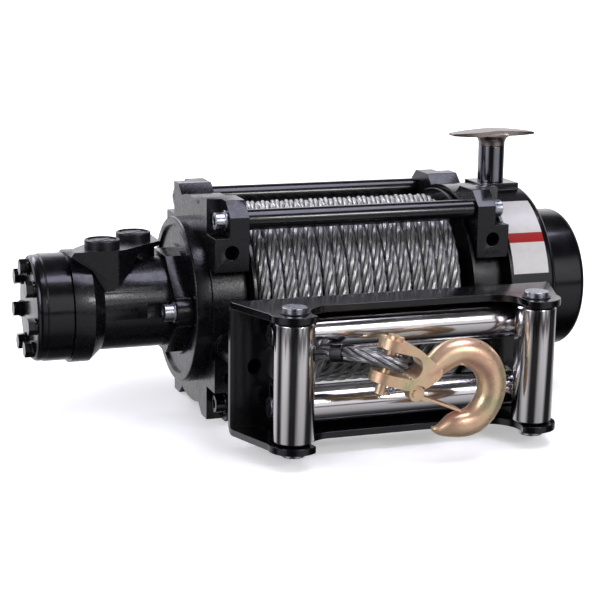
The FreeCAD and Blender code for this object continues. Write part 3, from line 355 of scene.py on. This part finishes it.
MATERIALS = {
    "casting": (enamel_on_casting, "black_paint"),
    "steel": (enamel_on_steel, "black_paint"),
    "rope": (wire_rope_steel, "rope_steel"),
    "stainless": (polished_stainless, "stainless"),
    "zinc": (bright_zinc, "zinc"),
    "chromate": (yellow_chromate, "yellow_zinc"),
    "nickel": (satin_nickel, "nickel"),
    "plastic": (moulded_plastic, "black_plastic"),
    "ferrule": (steel_in_painted_shade, "zinc"),
    "blued": (blued_steel, "black_paint"),
}
MADE = {}


def material_of(kind):
    if kind not in MADE:
        MADE[kind] = MATERIALS[kind][0]()
    return MADE[kind]


# Pieces


def new_piece(name, shape, kind, body, replaces=(), edge=0.0, smooth=35):
    """Turns a bmesh into a piece that rides on a body, with rounded edges and smooth curved faces."""
    mesh = bpy.data.meshes.new(name)
    shape.to_mesh(mesh)
    shape.free()
    piece = bpy.data.objects.new(name, mesh)
    bpy.context.scene.collection.objects.link(piece)
    for material in kind if isinstance(kind, list) else [material_of(kind)]:
        mesh.materials.append(material)
    mesh.shade_smooth()
    mesh.set_sharp_from_angle(angle=math.radians(smooth))
    if edge:
        bevel = piece.modifiers.new("rounded_edges", "BEVEL")
        bevel.width, bevel.segments, bevel.limit_method = edge, 2, "ANGLE"
        bevel.angle_limit = math.radians(smooth)
        bevel.harden_normals = True
        bevel.miter_outer = "MITER_ARC"
    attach(piece, body)
    if replaces:
        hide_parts(*replaces)
    return piece


def merged_copy(node):
    """A CAD node's triangles, joined, with its flat faces made whole."""
    shape = bmesh.new()
    shape.from_mesh(frame["nodes"][node].data)
    bmesh.ops.remove_doubles(shape, verts=shape.verts, dist=0.002 * MM)
    bmesh.ops.dissolve_limit(
        shape, angle_limit=math.radians(0.4), verts=shape.verts, edges=shape.edges,
        use_dissolve_boundaries=False,
    )
    return shape


def body_of_node(node):
    for body, nodes in frame["record"]["behaviour"]["bodies"].items():
        if node in nodes:
            return body
    raise ValueError(f"{node} is on no body")


def dress(node, kind, edge=0.0, smooth=35):
    """A CAD node's own shape, with rounded edges and its finish."""
    return new_piece(f"{node}_finished", merged_copy(node), kind, body_of_node(node), [node], edge, smooth)


def sizes():
    return bpy.context.scene.winch_sizes


# Rope


def laid_rope(shape, path, sides=8, shrink=1.0):
    """Strands laid right-handed round a path of (place, heading, outward) steps, all in one sweep."""
    rope, strands, lay = sizes().rope_radius * shrink, sizes().strand_count, sizes().rope_lay
    layer = shape.verts.layers.float_vector.new("strand_place")
    strand_radius = rope / 3
    centres = rope - strand_radius

    def section(step, travelled):
        place, heading, outward = path[step]
        across = heading.cross(outward).normalized()
        outward = across.cross(heading).normalized()
        turn = Matrix((outward, across, heading)).transposed().to_4x4()
        return Matrix.Translation(place) @ turn @ Matrix.Rotation(FULL_TURN * travelled / lay, 4, "Z")

    before = section(0, 0)
    current = []
    for i in range(strands):
        seat = Matrix.Rotation(FULL_TURN * i / strands, 4, "Z") @ Matrix.Translation((centres, 0, 0))
        # a little over size, so that the flat-sided strands touch
        made = bmesh.ops.create_circle(
            shape, cap_ends=False, radius=strand_radius * 1.04, segments=sides, matrix=before @ seat
        )
        inverse = (before @ seat).inverted()
        for vert in made["verts"]:
            local = inverse @ vert.co
            vert[layer] = Vector((local.x, local.y, 0)).normalized()
        current += [edge for vert in made["verts"] for edge in vert.link_edges]
    current = list(dict.fromkeys(current))
    ends = [list(current)]
    travelled = 0
    for step in range(1, len(path)):
        travelled += (path[step][0] - path[step - 1][0]).length
        after = section(step, travelled)
        made = bmesh.ops.extrude_edge_only(shape, edges=current)["geom"]
        verts = [item for item in made if isinstance(item, bmesh.types.BMVert)]
        bmesh.ops.transform(shape, matrix=after @ before.inverted(), verts=verts)
        for vert in verts:
            vert[layer].z = travelled
        current = [item for item in made if isinstance(item, bmesh.types.BMEdge)]
        before = after
    ends.append(current)
    for rim in ends:
        bmesh.ops.holes_fill(shape, edges=rim, sides=0)
    bmesh.ops.recalc_face_normals(shape, faces=shape.faces)


# how far the wound turns wander from an even lay
WANDER_ALONG, WANDER_OUT = 0.16 * MM, 0.12 * MM


def drum_path(first_turn, last_turn, radius, start_x, pitch, steps_per_turn=92):
    """Steps of a rope wound on the drum, travelling along +X."""
    draw = random.Random(7)
    waves = [(draw.uniform(0.3, 1.1), draw.uniform(0, FULL_TURN)) for _ in range(4)]
    path = []
    for step in range(int((last_turn - first_turn) * steps_per_turn) + 1):
        turns = first_turn + step / steps_per_turn
        angle = -FULL_TURN * turns
        outward = Vector((0, math.cos(angle), math.sin(angle)))
        sway = sum(math.sin(turns * FULL_TURN * speed + phase) for speed, phase in waves)
        place = Vector((start_x + pitch * turns + WANDER_ALONG * sway, DRUM_MIDDLE.y, DRUM_MIDDLE.z))
        place += outward * (radius + WANDER_OUT * sway)
        heading = Vector((pitch / FULL_TURN, 0, 0)) + Vector((0, math.sin(angle), -math.cos(angle))) * radius
        path.append((place, heading.normalized(), outward))
    return path


def smooth_steps(points, spacing):
    """Even steps along a smooth line through a route's points."""
    curve = bpy.data.curves.new("route", "CURVE")
    curve.dimensions = "3D"
    spline = curve.splines.new("BEZIER")
    spline.bezier_points.add(len(points) - 1)
    for point, place in zip(spline.bezier_points, points):
        point.co = place
        point.handle_left_type = point.handle_right_type = "AUTO"
    curve.resolution_u = 24
    holder = bpy.data.objects.new("route", curve)
    bpy.context.scene.collection.objects.link(holder)
    bpy.context.view_layer.update()
    line = bpy.data.meshes.new_from_object(holder.evaluated_get(bpy.context.evaluated_depsgraph_get()))
    dense = [vert.co.copy() for vert in line.vertices]
    bpy.data.objects.remove(holder)
    bpy.data.curves.remove(curve)
    bpy.data.meshes.remove(line)
    lengths = [0.0]
    for a, b in zip(dense, dense[1:]):
        lengths.append(lengths[-1] + (b - a).length)
    count = max(2, round(lengths[-1] / spacing))
    even, j = [], 0
    for i in range(count + 1):
        wanted = lengths[-1] * i / count
        while j < len(lengths) - 2 and lengths[j + 1] < wanted:
            j += 1
        share = (wanted - lengths[j]) / max(lengths[j + 1] - lengths[j], 1e-9)
        even.append(dense[j].lerp(dense[j + 1], min(max(share, 0), 1)))
    path, outward = [], Vector((0, 0, 1))
    for i, place in enumerate(even):
        heading = (even[min(i + 1, count)] - even[max(i - 1, 0)]).normalized()
        outward = (outward - heading * outward.dot(heading)).normalized()
        path.append((place, heading, outward.copy()))
    return path


# Operators


# the room as gloss sees it: brightness by the degrees round from the front, and by the height of the view's
# direction, with white cloth behind, and a dark camera side between two tall white cards
ROOM_ROUND = [
    (-180, 1.6), (-132, 1.3), (-112, 0.05), (-98, 0.05), (-84, 1.2), (-58, 1.2), (-40, 0.04), (-8, 0.04),
    (12, 1.0), (44, 1.1), (60, 0.04), (96, 0.04), (124, 0.9), (180, 1.6),
]
ROOM_UP = [
    (-1, 0.05), (-0.8, 0.06), (-0.6, 0.4), (-0.12, 0.7), (-0.05, 0.05), (0.0, 0.06), (0.06, 1.0), (0.5, 0.9),
    (0.62, 0.05), (1.0, 0.04),
]
ROOM_TONE = (0.96, 0.95, 1.0, 1)
# the even grey that lights matt surfaces
ROOM_FILL = (0.5, 0.5, 0.5, 1)

# each lamp aims at the origin: name, place, width, height, power in watts, colour
LAMPS = [
    ("softbox_top", (0.5, -0.3, 1.75), 1.2, 0.8, 22, "#d8d6ee"),
    ("softbox_left", (-1.8, -0.9, 0.9), 0.9, 0.9, 14, "#e2e0f2"),
    ("softbox_rear", (-0.6, 1.5, 1.3), 1.2, 0.7, 16, "#e4e2f4"),
    ("spot_front", (0.6, -1.5, 0.75), 0.3, 0.3, 6, "#ffffff"),
]

# from points measured in the photograph: the camera's place, its turns about Z, X and Z, and its lens
CAMERA_PLACE = (-0.55518, -1.39711, 0.34638)
CAMERA_TURNS = (-19.41, 90 - 12.76, 0.78)
CAMERA_LENS, CAMERA_SENSOR = 100.99, 36


class WINCH_OT_stage(Operator):
    """Sets the pale floor, the soft lamps and the camera."""

    bl_idname = "winch.stage"
    bl_label = "Stage"

    def execute(self, context):
        floor = bmesh.new()
        place = Matrix.Translation((0, 0, CAD_BOX[0].z))
        bmesh.ops.create_grid(floor, x_segments=1, y_segments=1, size=30, matrix=place)
        mesh = bpy.data.meshes.new("studio_floor")
        floor.to_mesh(mesh)
        floor.free()
        piece = bpy.data.objects.new("studio_floor", mesh)
        context.scene.collection.objects.link(piece)
        mesh.materials.append(self.paper())
        self.light(context)
        self.aim(context)
        return {"FINISHED"}

    def paper(self):
        """Matt paper: a painted glow, for the lens only, makes it white away from the object's shadow and
        fades near the object, darkening the floor round it; gloss sees through it to the room.
        """
        material, shader, place = new_material("seamless_paper")
        away = add_node(material, "ShaderNodeVectorMath", "Value", {"operation": "LENGTH"}, _0=place)
        # painted glow and shade: the glow the lens sees rises from 0.4 near the object to 1.0 past 1.4 m
        painted_floor_glow = add_node(
            material, RANGE, "Result", {"interpolation_type": "SMOOTHSTEP"}, Value=away, From_Min=0.25,
            From_Max=1.4, To_Min=0.4, To_Max=1.0,
        )
        lens = add_node(material, LIGHT_PATH, "Is Camera Ray")
        gloss = add_node(material, LIGHT_PATH, "Is Glossy Ray")
        seen = add_node(material, MATHS, 0, TIMES, _0=lens, _1=painted_floor_glow)
        finish_surface(
            material, shader, None, 0, Base_Color=colour_of("floor"), Roughness=0.9, Specular_IOR_Level=0.0,
            Emission_Color=WHITE, Emission_Strength=seen,
        )
        clear = add_node(material, "ShaderNodeBsdfTransparent", "BSDF")
        both = add_node(material, "ShaderNodeMixShader", 0, _0=gloss, _1=shader.outputs["BSDF"], _2=clear)
        fill(material, material.node_tree.nodes["Material Output"].inputs["Surface"], both)
        return material

    def brightness(self, world, value, stops):
        """Brightness that follows a value through (value, brightness) stops."""
        low, high = stops[0][0], stops[-1][0]
        share = add_node(world, RANGE, "Result", Value=value, From_Min=low, From_Max=high)
        tone = add_node(world, "ShaderNodeValToRGB", "Color", Fac=share)
        greys = [((at - low) / (high - low), (level, level, level, 1)) for at, level in stops]
        set_stops(tone.node.color_ramp, greys)
        return tone

    def light(self, context):
        """The room and its lamps."""
        world = bpy.data.worlds.new("studio")
        context.scene.world = world
        world.use_nodes = True
        direction = add_node(world, COORDINATES, "Generated")
        x, y, z = add_node(world, SPLIT, "X", Vector=direction).node.outputs
        front = add_node(world, MATHS, 0, TIMES, _0=y, _1=-1.0)
        turn = add_node(world, MATHS, 0, {"operation": "ARCTAN2"}, _0=x, _1=front)
        degrees = add_node(world, MATHS, 0, {"operation": "DEGREES"}, _0=turn)
        round_room = self.brightness(world, degrees, ROOM_ROUND)
        up_room = self.brightness(world, z, ROOM_UP)
        room = add_node(world, MIX, 2, TINT, _0=1.0, _6=round_room, _7=up_room)
        toned = add_node(world, MIX, 2, TINT, _0=1.0, _6=room, _7=ROOM_TONE)
        gloss = add_node(world, LIGHT_PATH, "Is Glossy Ray")
        lit = add_node(world, MIX, 2, BLEND, _0=gloss, _6=ROOM_FILL, _7=toned)
        lens = add_node(world, LIGHT_PATH, "Is Camera Ray")
        shown = add_node(world, MIX, 2, BLEND, _0=lens, _6=lit, _7=WHITE)
        background = world.node_tree.nodes["Background"]
        fill(world, background.inputs["Color"], shown)
        fill(world, background.inputs["Strength"], 1.0)
        for name, place, wide, high, power, colour in LAMPS:
            lamp = bpy.data.lights.new(name, "AREA")
            lamp.shape, lamp.size, lamp.size_y = "RECTANGLE", wide, high
            lamp.energy, lamp.color = power, linear(colour)[:3]
            holder = bpy.data.objects.new(name, lamp)
            holder.location = place
            holder.rotation_mode = "QUATERNION"
            holder.rotation_quaternion = (-Vector(place)).to_track_quat("-Z", "Y")
            context.scene.collection.objects.link(holder)

    def aim(self, context):
        """The camera, and the view that shows colours as they are."""
        camera = bpy.data.cameras.new("camera")
        camera.sensor_width, camera.lens = CAMERA_SENSOR, CAMERA_LENS
        holder = bpy.data.objects.new("camera", camera)
        yaw, pitch, roll = (math.radians(turn) for turn in CAMERA_TURNS)
        holder.matrix_world = (
            Matrix.Translation(CAMERA_PLACE)
            @ Matrix.Rotation(yaw, 4, "Z")
            @ Matrix.Rotation(pitch, 4, "X")
            @ Matrix.Rotation(roll, 4, "Z")
        )
        context.scene.collection.objects.link(holder)
        context.scene.camera = holder
        context.scene.view_settings.view_transform = "Standard"


class WINCH_OT_motor(Operator):
    """Finishes the hydraulic motor."""

    bl_idname = "winch.motor"
    bl_label = "Motor"

    def execute(self, context):
        casting, machined = sizes().casting_edge, sizes().machined_edge
        dress("motor_adapter_disc", "casting", machined)
        dress("motor_valve_housing", "casting", casting)
        dress("motor_gear_ring", "steel", 0.3 * MM)
        dress("motor_end_cover", "steel", machined)
        dress("motor_cover_bolts", "steel", 0.4 * MM)
        self.port_plug("port_plug_front")
        self.port_plug("port_plug_rear")
        dress("motor_flange_screws", "zinc", 0.5 * MM)
        return {"FINISHED"}

    def port_plug(self, node):
        """A moulded plug: a rim, a sunk top and a raised bar to turn it by."""
        rim, sink = 2.4 * MM, 1.6 * MM
        bar, bar_turn = (19 * MM, 5 * MM, 2.2 * MM, 1), math.radians(35)
        boss_low, boss_high, boss_depth = 8 * MM, 7.6 * MM, 1.6 * MM
        shape = merged_copy(node)
        top = max(face.calc_center_median().z for face in shape.faces)
        crown = [
            face for face in shape.faces
            if face.normal.z > 0.99 and top - face.calc_center_median().z < 0.01 * MM
        ]
        bmesh.ops.inset_region(shape, faces=crown, thickness=rim, use_boundary=True)
        verts = {vert for face in crown for vert in face.verts}
        bmesh.ops.translate(shape, vec=(0, 0, -sink), verts=list(verts))
        middle, high = middle_of(node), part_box(node)[1].z
        place = Matrix.Translation((middle.x, middle.y, high - 1.5 * MM)) @ Matrix.Rotation(bar_turn, 4, "Z")
        bmesh.ops.create_cube(shape, size=1, matrix=place @ Matrix.Diagonal(bar))
        bmesh.ops.create_cone(
            shape, cap_ends=True, segments=40, radius1=boss_low, radius2=boss_high, depth=boss_depth,
            matrix=place,
        )
        new_piece(f"{node}_finished", shape, "plastic", "winch", [node], 0.4 * MM)


class WINCH_OT_housings(Operator):
    """Finishes the end housings, their tie rods and screws."""

    bl_idname = "winch.housings"
    bl_label = "End housings"

    def execute(self, context):
        dress("left_end_housing", "casting", sizes().casting_edge)
        self.right_housing()
        for side in ("left", "right"):
            # painted shade: the low screw at the front gets black enamel in place of zinc, for the shade it
            # sits in
            shape = merged_copy(f"tie_rod_screws_{side}")
            for face in shape.faces:
                middle = face.calc_center_median() - DRUM_MIDDLE
                face.material_index = 1 if middle.y < 0 and middle.z < 0 else 0
            finishes = [material_of("zinc"), material_of("steel")]
            new_piece(
                f"tie_rod_screws_{side}_finished", shape, finishes, "winch", [f"tie_rod_screws_{side}"],
                0.5 * MM,
            )
        for place in ("upper_front", "upper_rear", "lower_rear"):
            dress(f"tie_rod_{place}", "steel")
        return {"FINISHED"}

    def right_housing(self):
        """Beside the drum the right housing is turned smooth, so the front lamp gleams on it."""
        shape = merged_copy("right_end_housing")
        for face in shape.faces:
            out = face.calc_center_median() - DRUM_MIDDLE
            out.x = 0
            face.material_index = 1 if face.normal.dot(out.normalized()) > 0.97 else 0
        finishes = [material_of("casting"), material_of("steel")]
        new_piece(
            "right_end_housing_finished", shape, finishes, "winch", ["right_end_housing"],
            sizes().casting_edge,
        )


class WINCH_OT_gearbox(Operator):
    """Finishes the gearbox, its plain label and the clutch handle."""

    bl_idname = "winch.gearbox"
    bl_label = "Gearbox"

    def execute(self, context):
        dress("gear_housing", "steel", sizes().machined_edge)
        dress("gearbox_cover_ring", "steel", 0.4 * MM)
        dress("gearbox_end_cap", "steel")
        dress("clutch_post", "blued", 0.6 * MM)
        dress("clutch_handle", "nickel", 0.8 * MM)
        self.handle_flare()
        self.label()
        return {"FINISHED"}

    def handle_flare(self):
        """The hub's hollow flare under the wing."""
        flare, lip, lip_high, steps = 8.5 * MM, 4 * MM, 1.2 * MM, 12
        centre = middle_of("clutch_post")
        post_low, post_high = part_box("clutch_post")
        hub = min((post_high.x - post_low.x) / 2 - 1.0 * MM, 10.6 * MM)
        bottom, top = post_high.z + 0.6 * MM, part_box("clutch_handle")[1].z - 5.2 * MM
        profile = []
        for share in (i / steps for i in range(steps + 1)):
            profile.append((hub + flare * share**3, bottom + (top - bottom) * share))
        profile.append((hub + lip, top + lip_high))
        shape = bmesh.new()
        verts = [shape.verts.new((centre.x + out, centre.y, z)) for out, z in profile]
        edges = [shape.edges.new(pair) for pair in zip(verts, verts[1:])]
        bmesh.ops.spin(
            shape, geom=verts + edges, cent=centre, axis=(0, 0, 1), dvec=(0, 0, 0), angle=FULL_TURN, steps=64,
            use_merge=True, use_duplicate=False,
        )
        rims = [edge for edge in shape.edges if edge.is_boundary]
        bmesh.ops.holes_fill(shape, edges=rims, sides=0)
        bmesh.ops.recalc_face_normals(shape, faces=shape.faces)
        new_piece("clutch_handle_flare", shape, "nickel", "clutch_handle", edge=0.4 * MM)

    def label(self):
        """A plain label that follows the gear housing's curve: dark header, pale field and a red stripe."""
        # degrees up from the front, and the label's film and its sides' distance from the end housing
        top, header, stripe_high, stripe_low, bottom = 70, 64, 39.5, 34, 15
        film, near, far = 0.15 * MM, 3 * MM, 39 * MM
        shape = bmesh.new()
        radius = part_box("gear_housing")[1].y - DRUM_MIDDLE.y + film
        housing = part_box("right_end_housing")[1].x
        start = math.radians(top)
        verts = [
            shape.verts.new((x, DRUM_MIDDLE.y - radius * math.cos(start), radius * math.sin(start)))
            for x in (housing + near, housing + far)
        ]
        edge = shape.edges.new(verts)
        bmesh.ops.spin(
            shape, geom=[*verts, edge], cent=DRUM_MIDDLE, axis=(1, 0, 0), dvec=(0, 0, 0),
            angle=start - math.radians(bottom), steps=36, use_merge=False, use_duplicate=False,
        )
        bmesh.ops.recalc_face_normals(shape, faces=shape.faces)
        for face in shape.faces:
            middle = face.calc_center_median() - DRUM_MIDDLE
            turn = math.degrees(math.atan2(middle.z, -middle.y))
            face.material_index = 1 if turn > header else 2 if stripe_low < turn < stripe_high else 0
            if face.normal.dot(Vector((0, middle.y, middle.z))) < 0:
                face.normal_flip()
        finishes = [
            label_vinyl("label_paper", colour_of("label_paper")),
            label_vinyl("label_header", linear("#101013")),
            label_vinyl("label_stripe", colour_of("label_red")),
        ]
        new_piece("plain_label", shape, finishes, "winch")


class WINCH_OT_drum(Operator):
    """Finishes the drum and winds its rope."""

    bl_idname = "winch.drum"
    bl_label = "Drum and rope"

    def execute(self, context):
        # the flanges are plates, so the outer turns of rope lie against the housings
        shape = merged_copy("drum")
        rim = [abs(vert.co.x) for vert in shape.verts if vert.co.z > PACK_RADIUS + 2 * MM]
        inner, outer, plate = min(rim), max(rim), 3 * MM
        for side in (-1, 1):
            verts = [vert for vert in shape.verts if abs(vert.co.x - side * inner) < 0.05 * MM]
            bmesh.ops.translate(shape, vec=(side * (outer - plate - inner), 0, 0), verts=verts)
        new_piece("drum_finished", shape, "steel", "drum_and_rope", ["drum"], 0.4 * MM)
        rope, pitch = sizes().rope_radius, sizes().wrap_pitch
        reach = outer - plate - rope
        shape = bmesh.new()
        # both ends lie under the drum
        turns = round(2 * reach / pitch)
        pitch = 2 * reach / turns
        path = drum_path(0.25, turns + 0.25, PACK_RADIUS - rope, -reach - pitch * 0.25, pitch)
        laid_rope(shape, path)
        new_piece("rope_turns", shape, "rope", "drum_and_rope", ["rope_pack"], smooth=80)
        return {"FINISHED"}


# the rope's eye, as the CAD has it: its turn from the hook's line in degrees, its legs' length from the
# clevis pin, how far they droop, the radius round the pin and half the width
EYE_TURN = 50
EYE_LONG, EYE_DROOP, EYE_BEND, EYE_HALF = 38 * MM, 6.5 * MM, 10.85 * MM, 14.5 * MM
# from the ends of the legs to the ferrule's far end
FERRULE_REACH = 11 * MM


class WINCH_OT_rope_end(Operator):
    """Lays the rope from the drum to its eye."""

    bl_idname = "winch.rope_end"
    bl_label = "Rope end"

    def execute(self, context):
        dress("rope_ferrule", "ferrule", 0.5 * MM)
        swing = JOINTS["hook_swing"]
        pin, up = Vector(swing["pos_m"]), -Vector(swing["axis"])
        along_hook = Vector((0, 1, 0)).cross(up).normalized()
        # the eye's own axes: along its legs, across them and up the clevis pin
        legs = Matrix.Rotation(math.radians(180 - EYE_TURN), 3, up) @ along_hook
        axes = Matrix((legs, up.cross(legs), up)).transposed()
        self.lay("rope_eye", self.eye_route(pin, axes), 1.8 * MM)
        self.lay("rope_tail", self.tail_route(pin, axes), 2.2 * MM)
        return {"FINISHED"}

    def lay(self, node, route, spacing):
        """Strands along a route, a hair inside the CAD rope's size."""
        shape = bmesh.new()
        laid_rope(shape, smooth_steps(route, spacing), shrink=0.985)
        new_piece(f"{node}_strands", shape, "rope", "winch", [node], smooth=80)

    def eye_route(self, pin, axes):
        """A drop round the clevis pin, from one leg's end to the other's."""
        close, bend = sizes().rope_radius + 0.2 * MM, EYE_BEND
        side = [
            (EYE_LONG + 4 * MM, close), (EYE_LONG, close), (EYE_LONG * 0.85, close * 1.25),
            (EYE_LONG * 0.62, EYE_HALF * 0.85), (EYE_LONG * 0.35, EYE_HALF), (0, bend * 1.04),
            (-bend * 0.707, bend * 0.707),
        ]
        drop = side + [(-bend, 0)] + [(x, -y) for x, y in reversed(side)]
        return [pin + axes @ Vector((x, y, -EYE_DROOP * (max(x, 0) / EYE_LONG) ** 2)) for x, y in drop]

    def tail_route(self, pin, axes):
        """Off the drum, through the gap between the level rollers and into the ferrule."""
        rope, drum = sizes().rope_radius, DRUM_MIDDLE
        upper, lower = middle_of("level_roller_upper"), middle_of("level_roller_lower")
        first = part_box("rope_tail")[0].x + rope
        gap = Vector((first, upper.y, (upper.z + lower.z) / 2 - 1.5 * MM))
        to_gap = Vector((0, gap.y - drum.y, gap.z - drum.z))
        away = PACK_RADIUS + rope + 0.3 * MM
        below = math.atan2(-to_gap.z, -to_gap.y) + math.acos(away / to_gap.length)
        leave = Vector((gap.x, drum.y - away * math.cos(below), drum.z - away * math.sin(below)))
        slope = math.atan(2 * EYE_DROOP / EYE_LONG)
        heading = axes @ Vector((math.cos(slope), 0, -math.sin(slope)))
        end = pin + axes @ Vector((EYE_LONG, 0, -EYE_DROOP)) + heading * FERRULE_REACH
        behind = end + heading * 2.4 * rope
        return [
            leave, leave.lerp(gap, 0.5), leave.lerp(gap, 0.93), gap.lerp(behind, 0.4), behind,
            end - heading * 3 * MM,
        ]


class WINCH_OT_fairlead(Operator):
    """Finishes the fairlead's plate, rollers and pins."""

    bl_idname = "winch.fairlead"
    bl_label = "Fairlead"

    def execute(self, context):
        dress("fairlead_frame", "steel", sizes().machined_edge)
        dress("fairlead_spacers", "steel", sizes().machined_edge)
        for kind, ends in (("upright", ("left", "right")), ("level", ("upper", "lower"))):
            for end in ends:
                dress(f"{kind}_roller_{end}", "stainless", 0.4 * MM)
        for end in ("upper", "lower"):
            dress(f"level_pin_{end}", "zinc", 0.6 * MM)
        for end in ("left", "right"):
            self.upright_pin(f"upright_pin_{end}")
        return {"FINISHED"}

    def upright_pin(self, node):
        """A pin with broad, flat heads on black washers."""
        broader, flatter, washer_ratio, washer = 1.18, 1.6 * MM, 1.38, 1.0 * MM
        low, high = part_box(node)
        centre, head = (low + high) / 2, (high.x - low.x) / 2
        shape = merged_copy(node)
        outside = [vert for vert in shape.verts if (vert.co - centre).xy.length > head * 0.9]
        bmesh.ops.scale(shape, vec=(broader, broader, 1), verts=outside, space=Matrix.Translation(-centre))
        for side, end in ((1, high.z), (-1, low.z)):
            tips = [vert for vert in shape.verts if abs(vert.co.z - end) < 0.01 * MM]
            bmesh.ops.translate(shape, vec=(0, 0, -side * flatter), verts=tips)
        new_piece(f"{node}_finished", shape, "zinc", "winch", [node], 0.8 * MM)
        # the washers lie on the fairlead's flanges
        flange_low, flange_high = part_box("fairlead_frame")
        shape = bmesh.new()
        for z in (flange_high.z + washer / 2, flange_low.z - washer / 2):
            bmesh.ops.create_cone(
                shape, cap_ends=True, segments=48, radius1=head * washer_ratio, radius2=head * washer_ratio,
                depth=washer, matrix=Matrix.Translation((centre.x, centre.y, z)),
            )
        new_piece(f"{node}_washers", shape, "plastic", "winch", edge=0.3 * MM)


class WINCH_OT_hook(Operator):
    """Finishes the hook, its latch and its pins."""

    bl_idname = "winch.hook"
    bl_label = "Hook"

    def execute(self, context):
        dress("hook_body", "chromate", 1.0 * MM)
        dress("clevis_pin", "chromate", 0.4 * MM)
        dress("split_pin", "zinc")
        dress("hook_latch", "chromate", 0.4 * MM)
        dress("latch_pin", "chromate", 0.3 * MM)
        return {"FINISHED"}


class WINCH_PT_panel(Panel):
    """Lists the winch's sizes, colours and pieces."""

    bl_label = "Hydraulic winch"
    bl_idname = "WINCH_PT_panel"
    bl_space_type = "VIEW_3D"
    bl_region_type = "UI"
    bl_category = "Winch"

    def draw(self, context):
        for group in (context.scene.winch_sizes, context.scene.winch_colours):
            box = self.layout.box()
            for name in group.__annotations__:
                box.prop(group, name)
        for operator in OPERATORS:
            self.layout.operator(operator.bl_idname)


OPERATORS = [
    WINCH_OT_stage, WINCH_OT_motor, WINCH_OT_housings, WINCH_OT_gearbox, WINCH_OT_drum, WINCH_OT_rope_end,
    WINCH_OT_fairlead, WINCH_OT_hook,
]
CLASSES = [WinchSizes, WinchColours, *OPERATORS, WINCH_PT_panel]


def register():
    for item in CLASSES:
        bpy.utils.register_class(item)
    bpy.types.Scene.winch_sizes = PointerProperty(type=WinchSizes)
    bpy.types.Scene.winch_colours = PointerProperty(type=WinchColours)


def unregister():
    del bpy.types.Scene.winch_colours
    del bpy.types.Scene.winch_sizes
    for item in reversed(CLASSES):
        bpy.utils.unregister_class(item)


def main():
    """Makes every piece in order."""
    register()
    for operator in OPERATORS:
        group, name = operator.bl_idname.split(".")
        getattr(getattr(bpy.ops, group), name)()


if __name__ == "__main__":
    main()
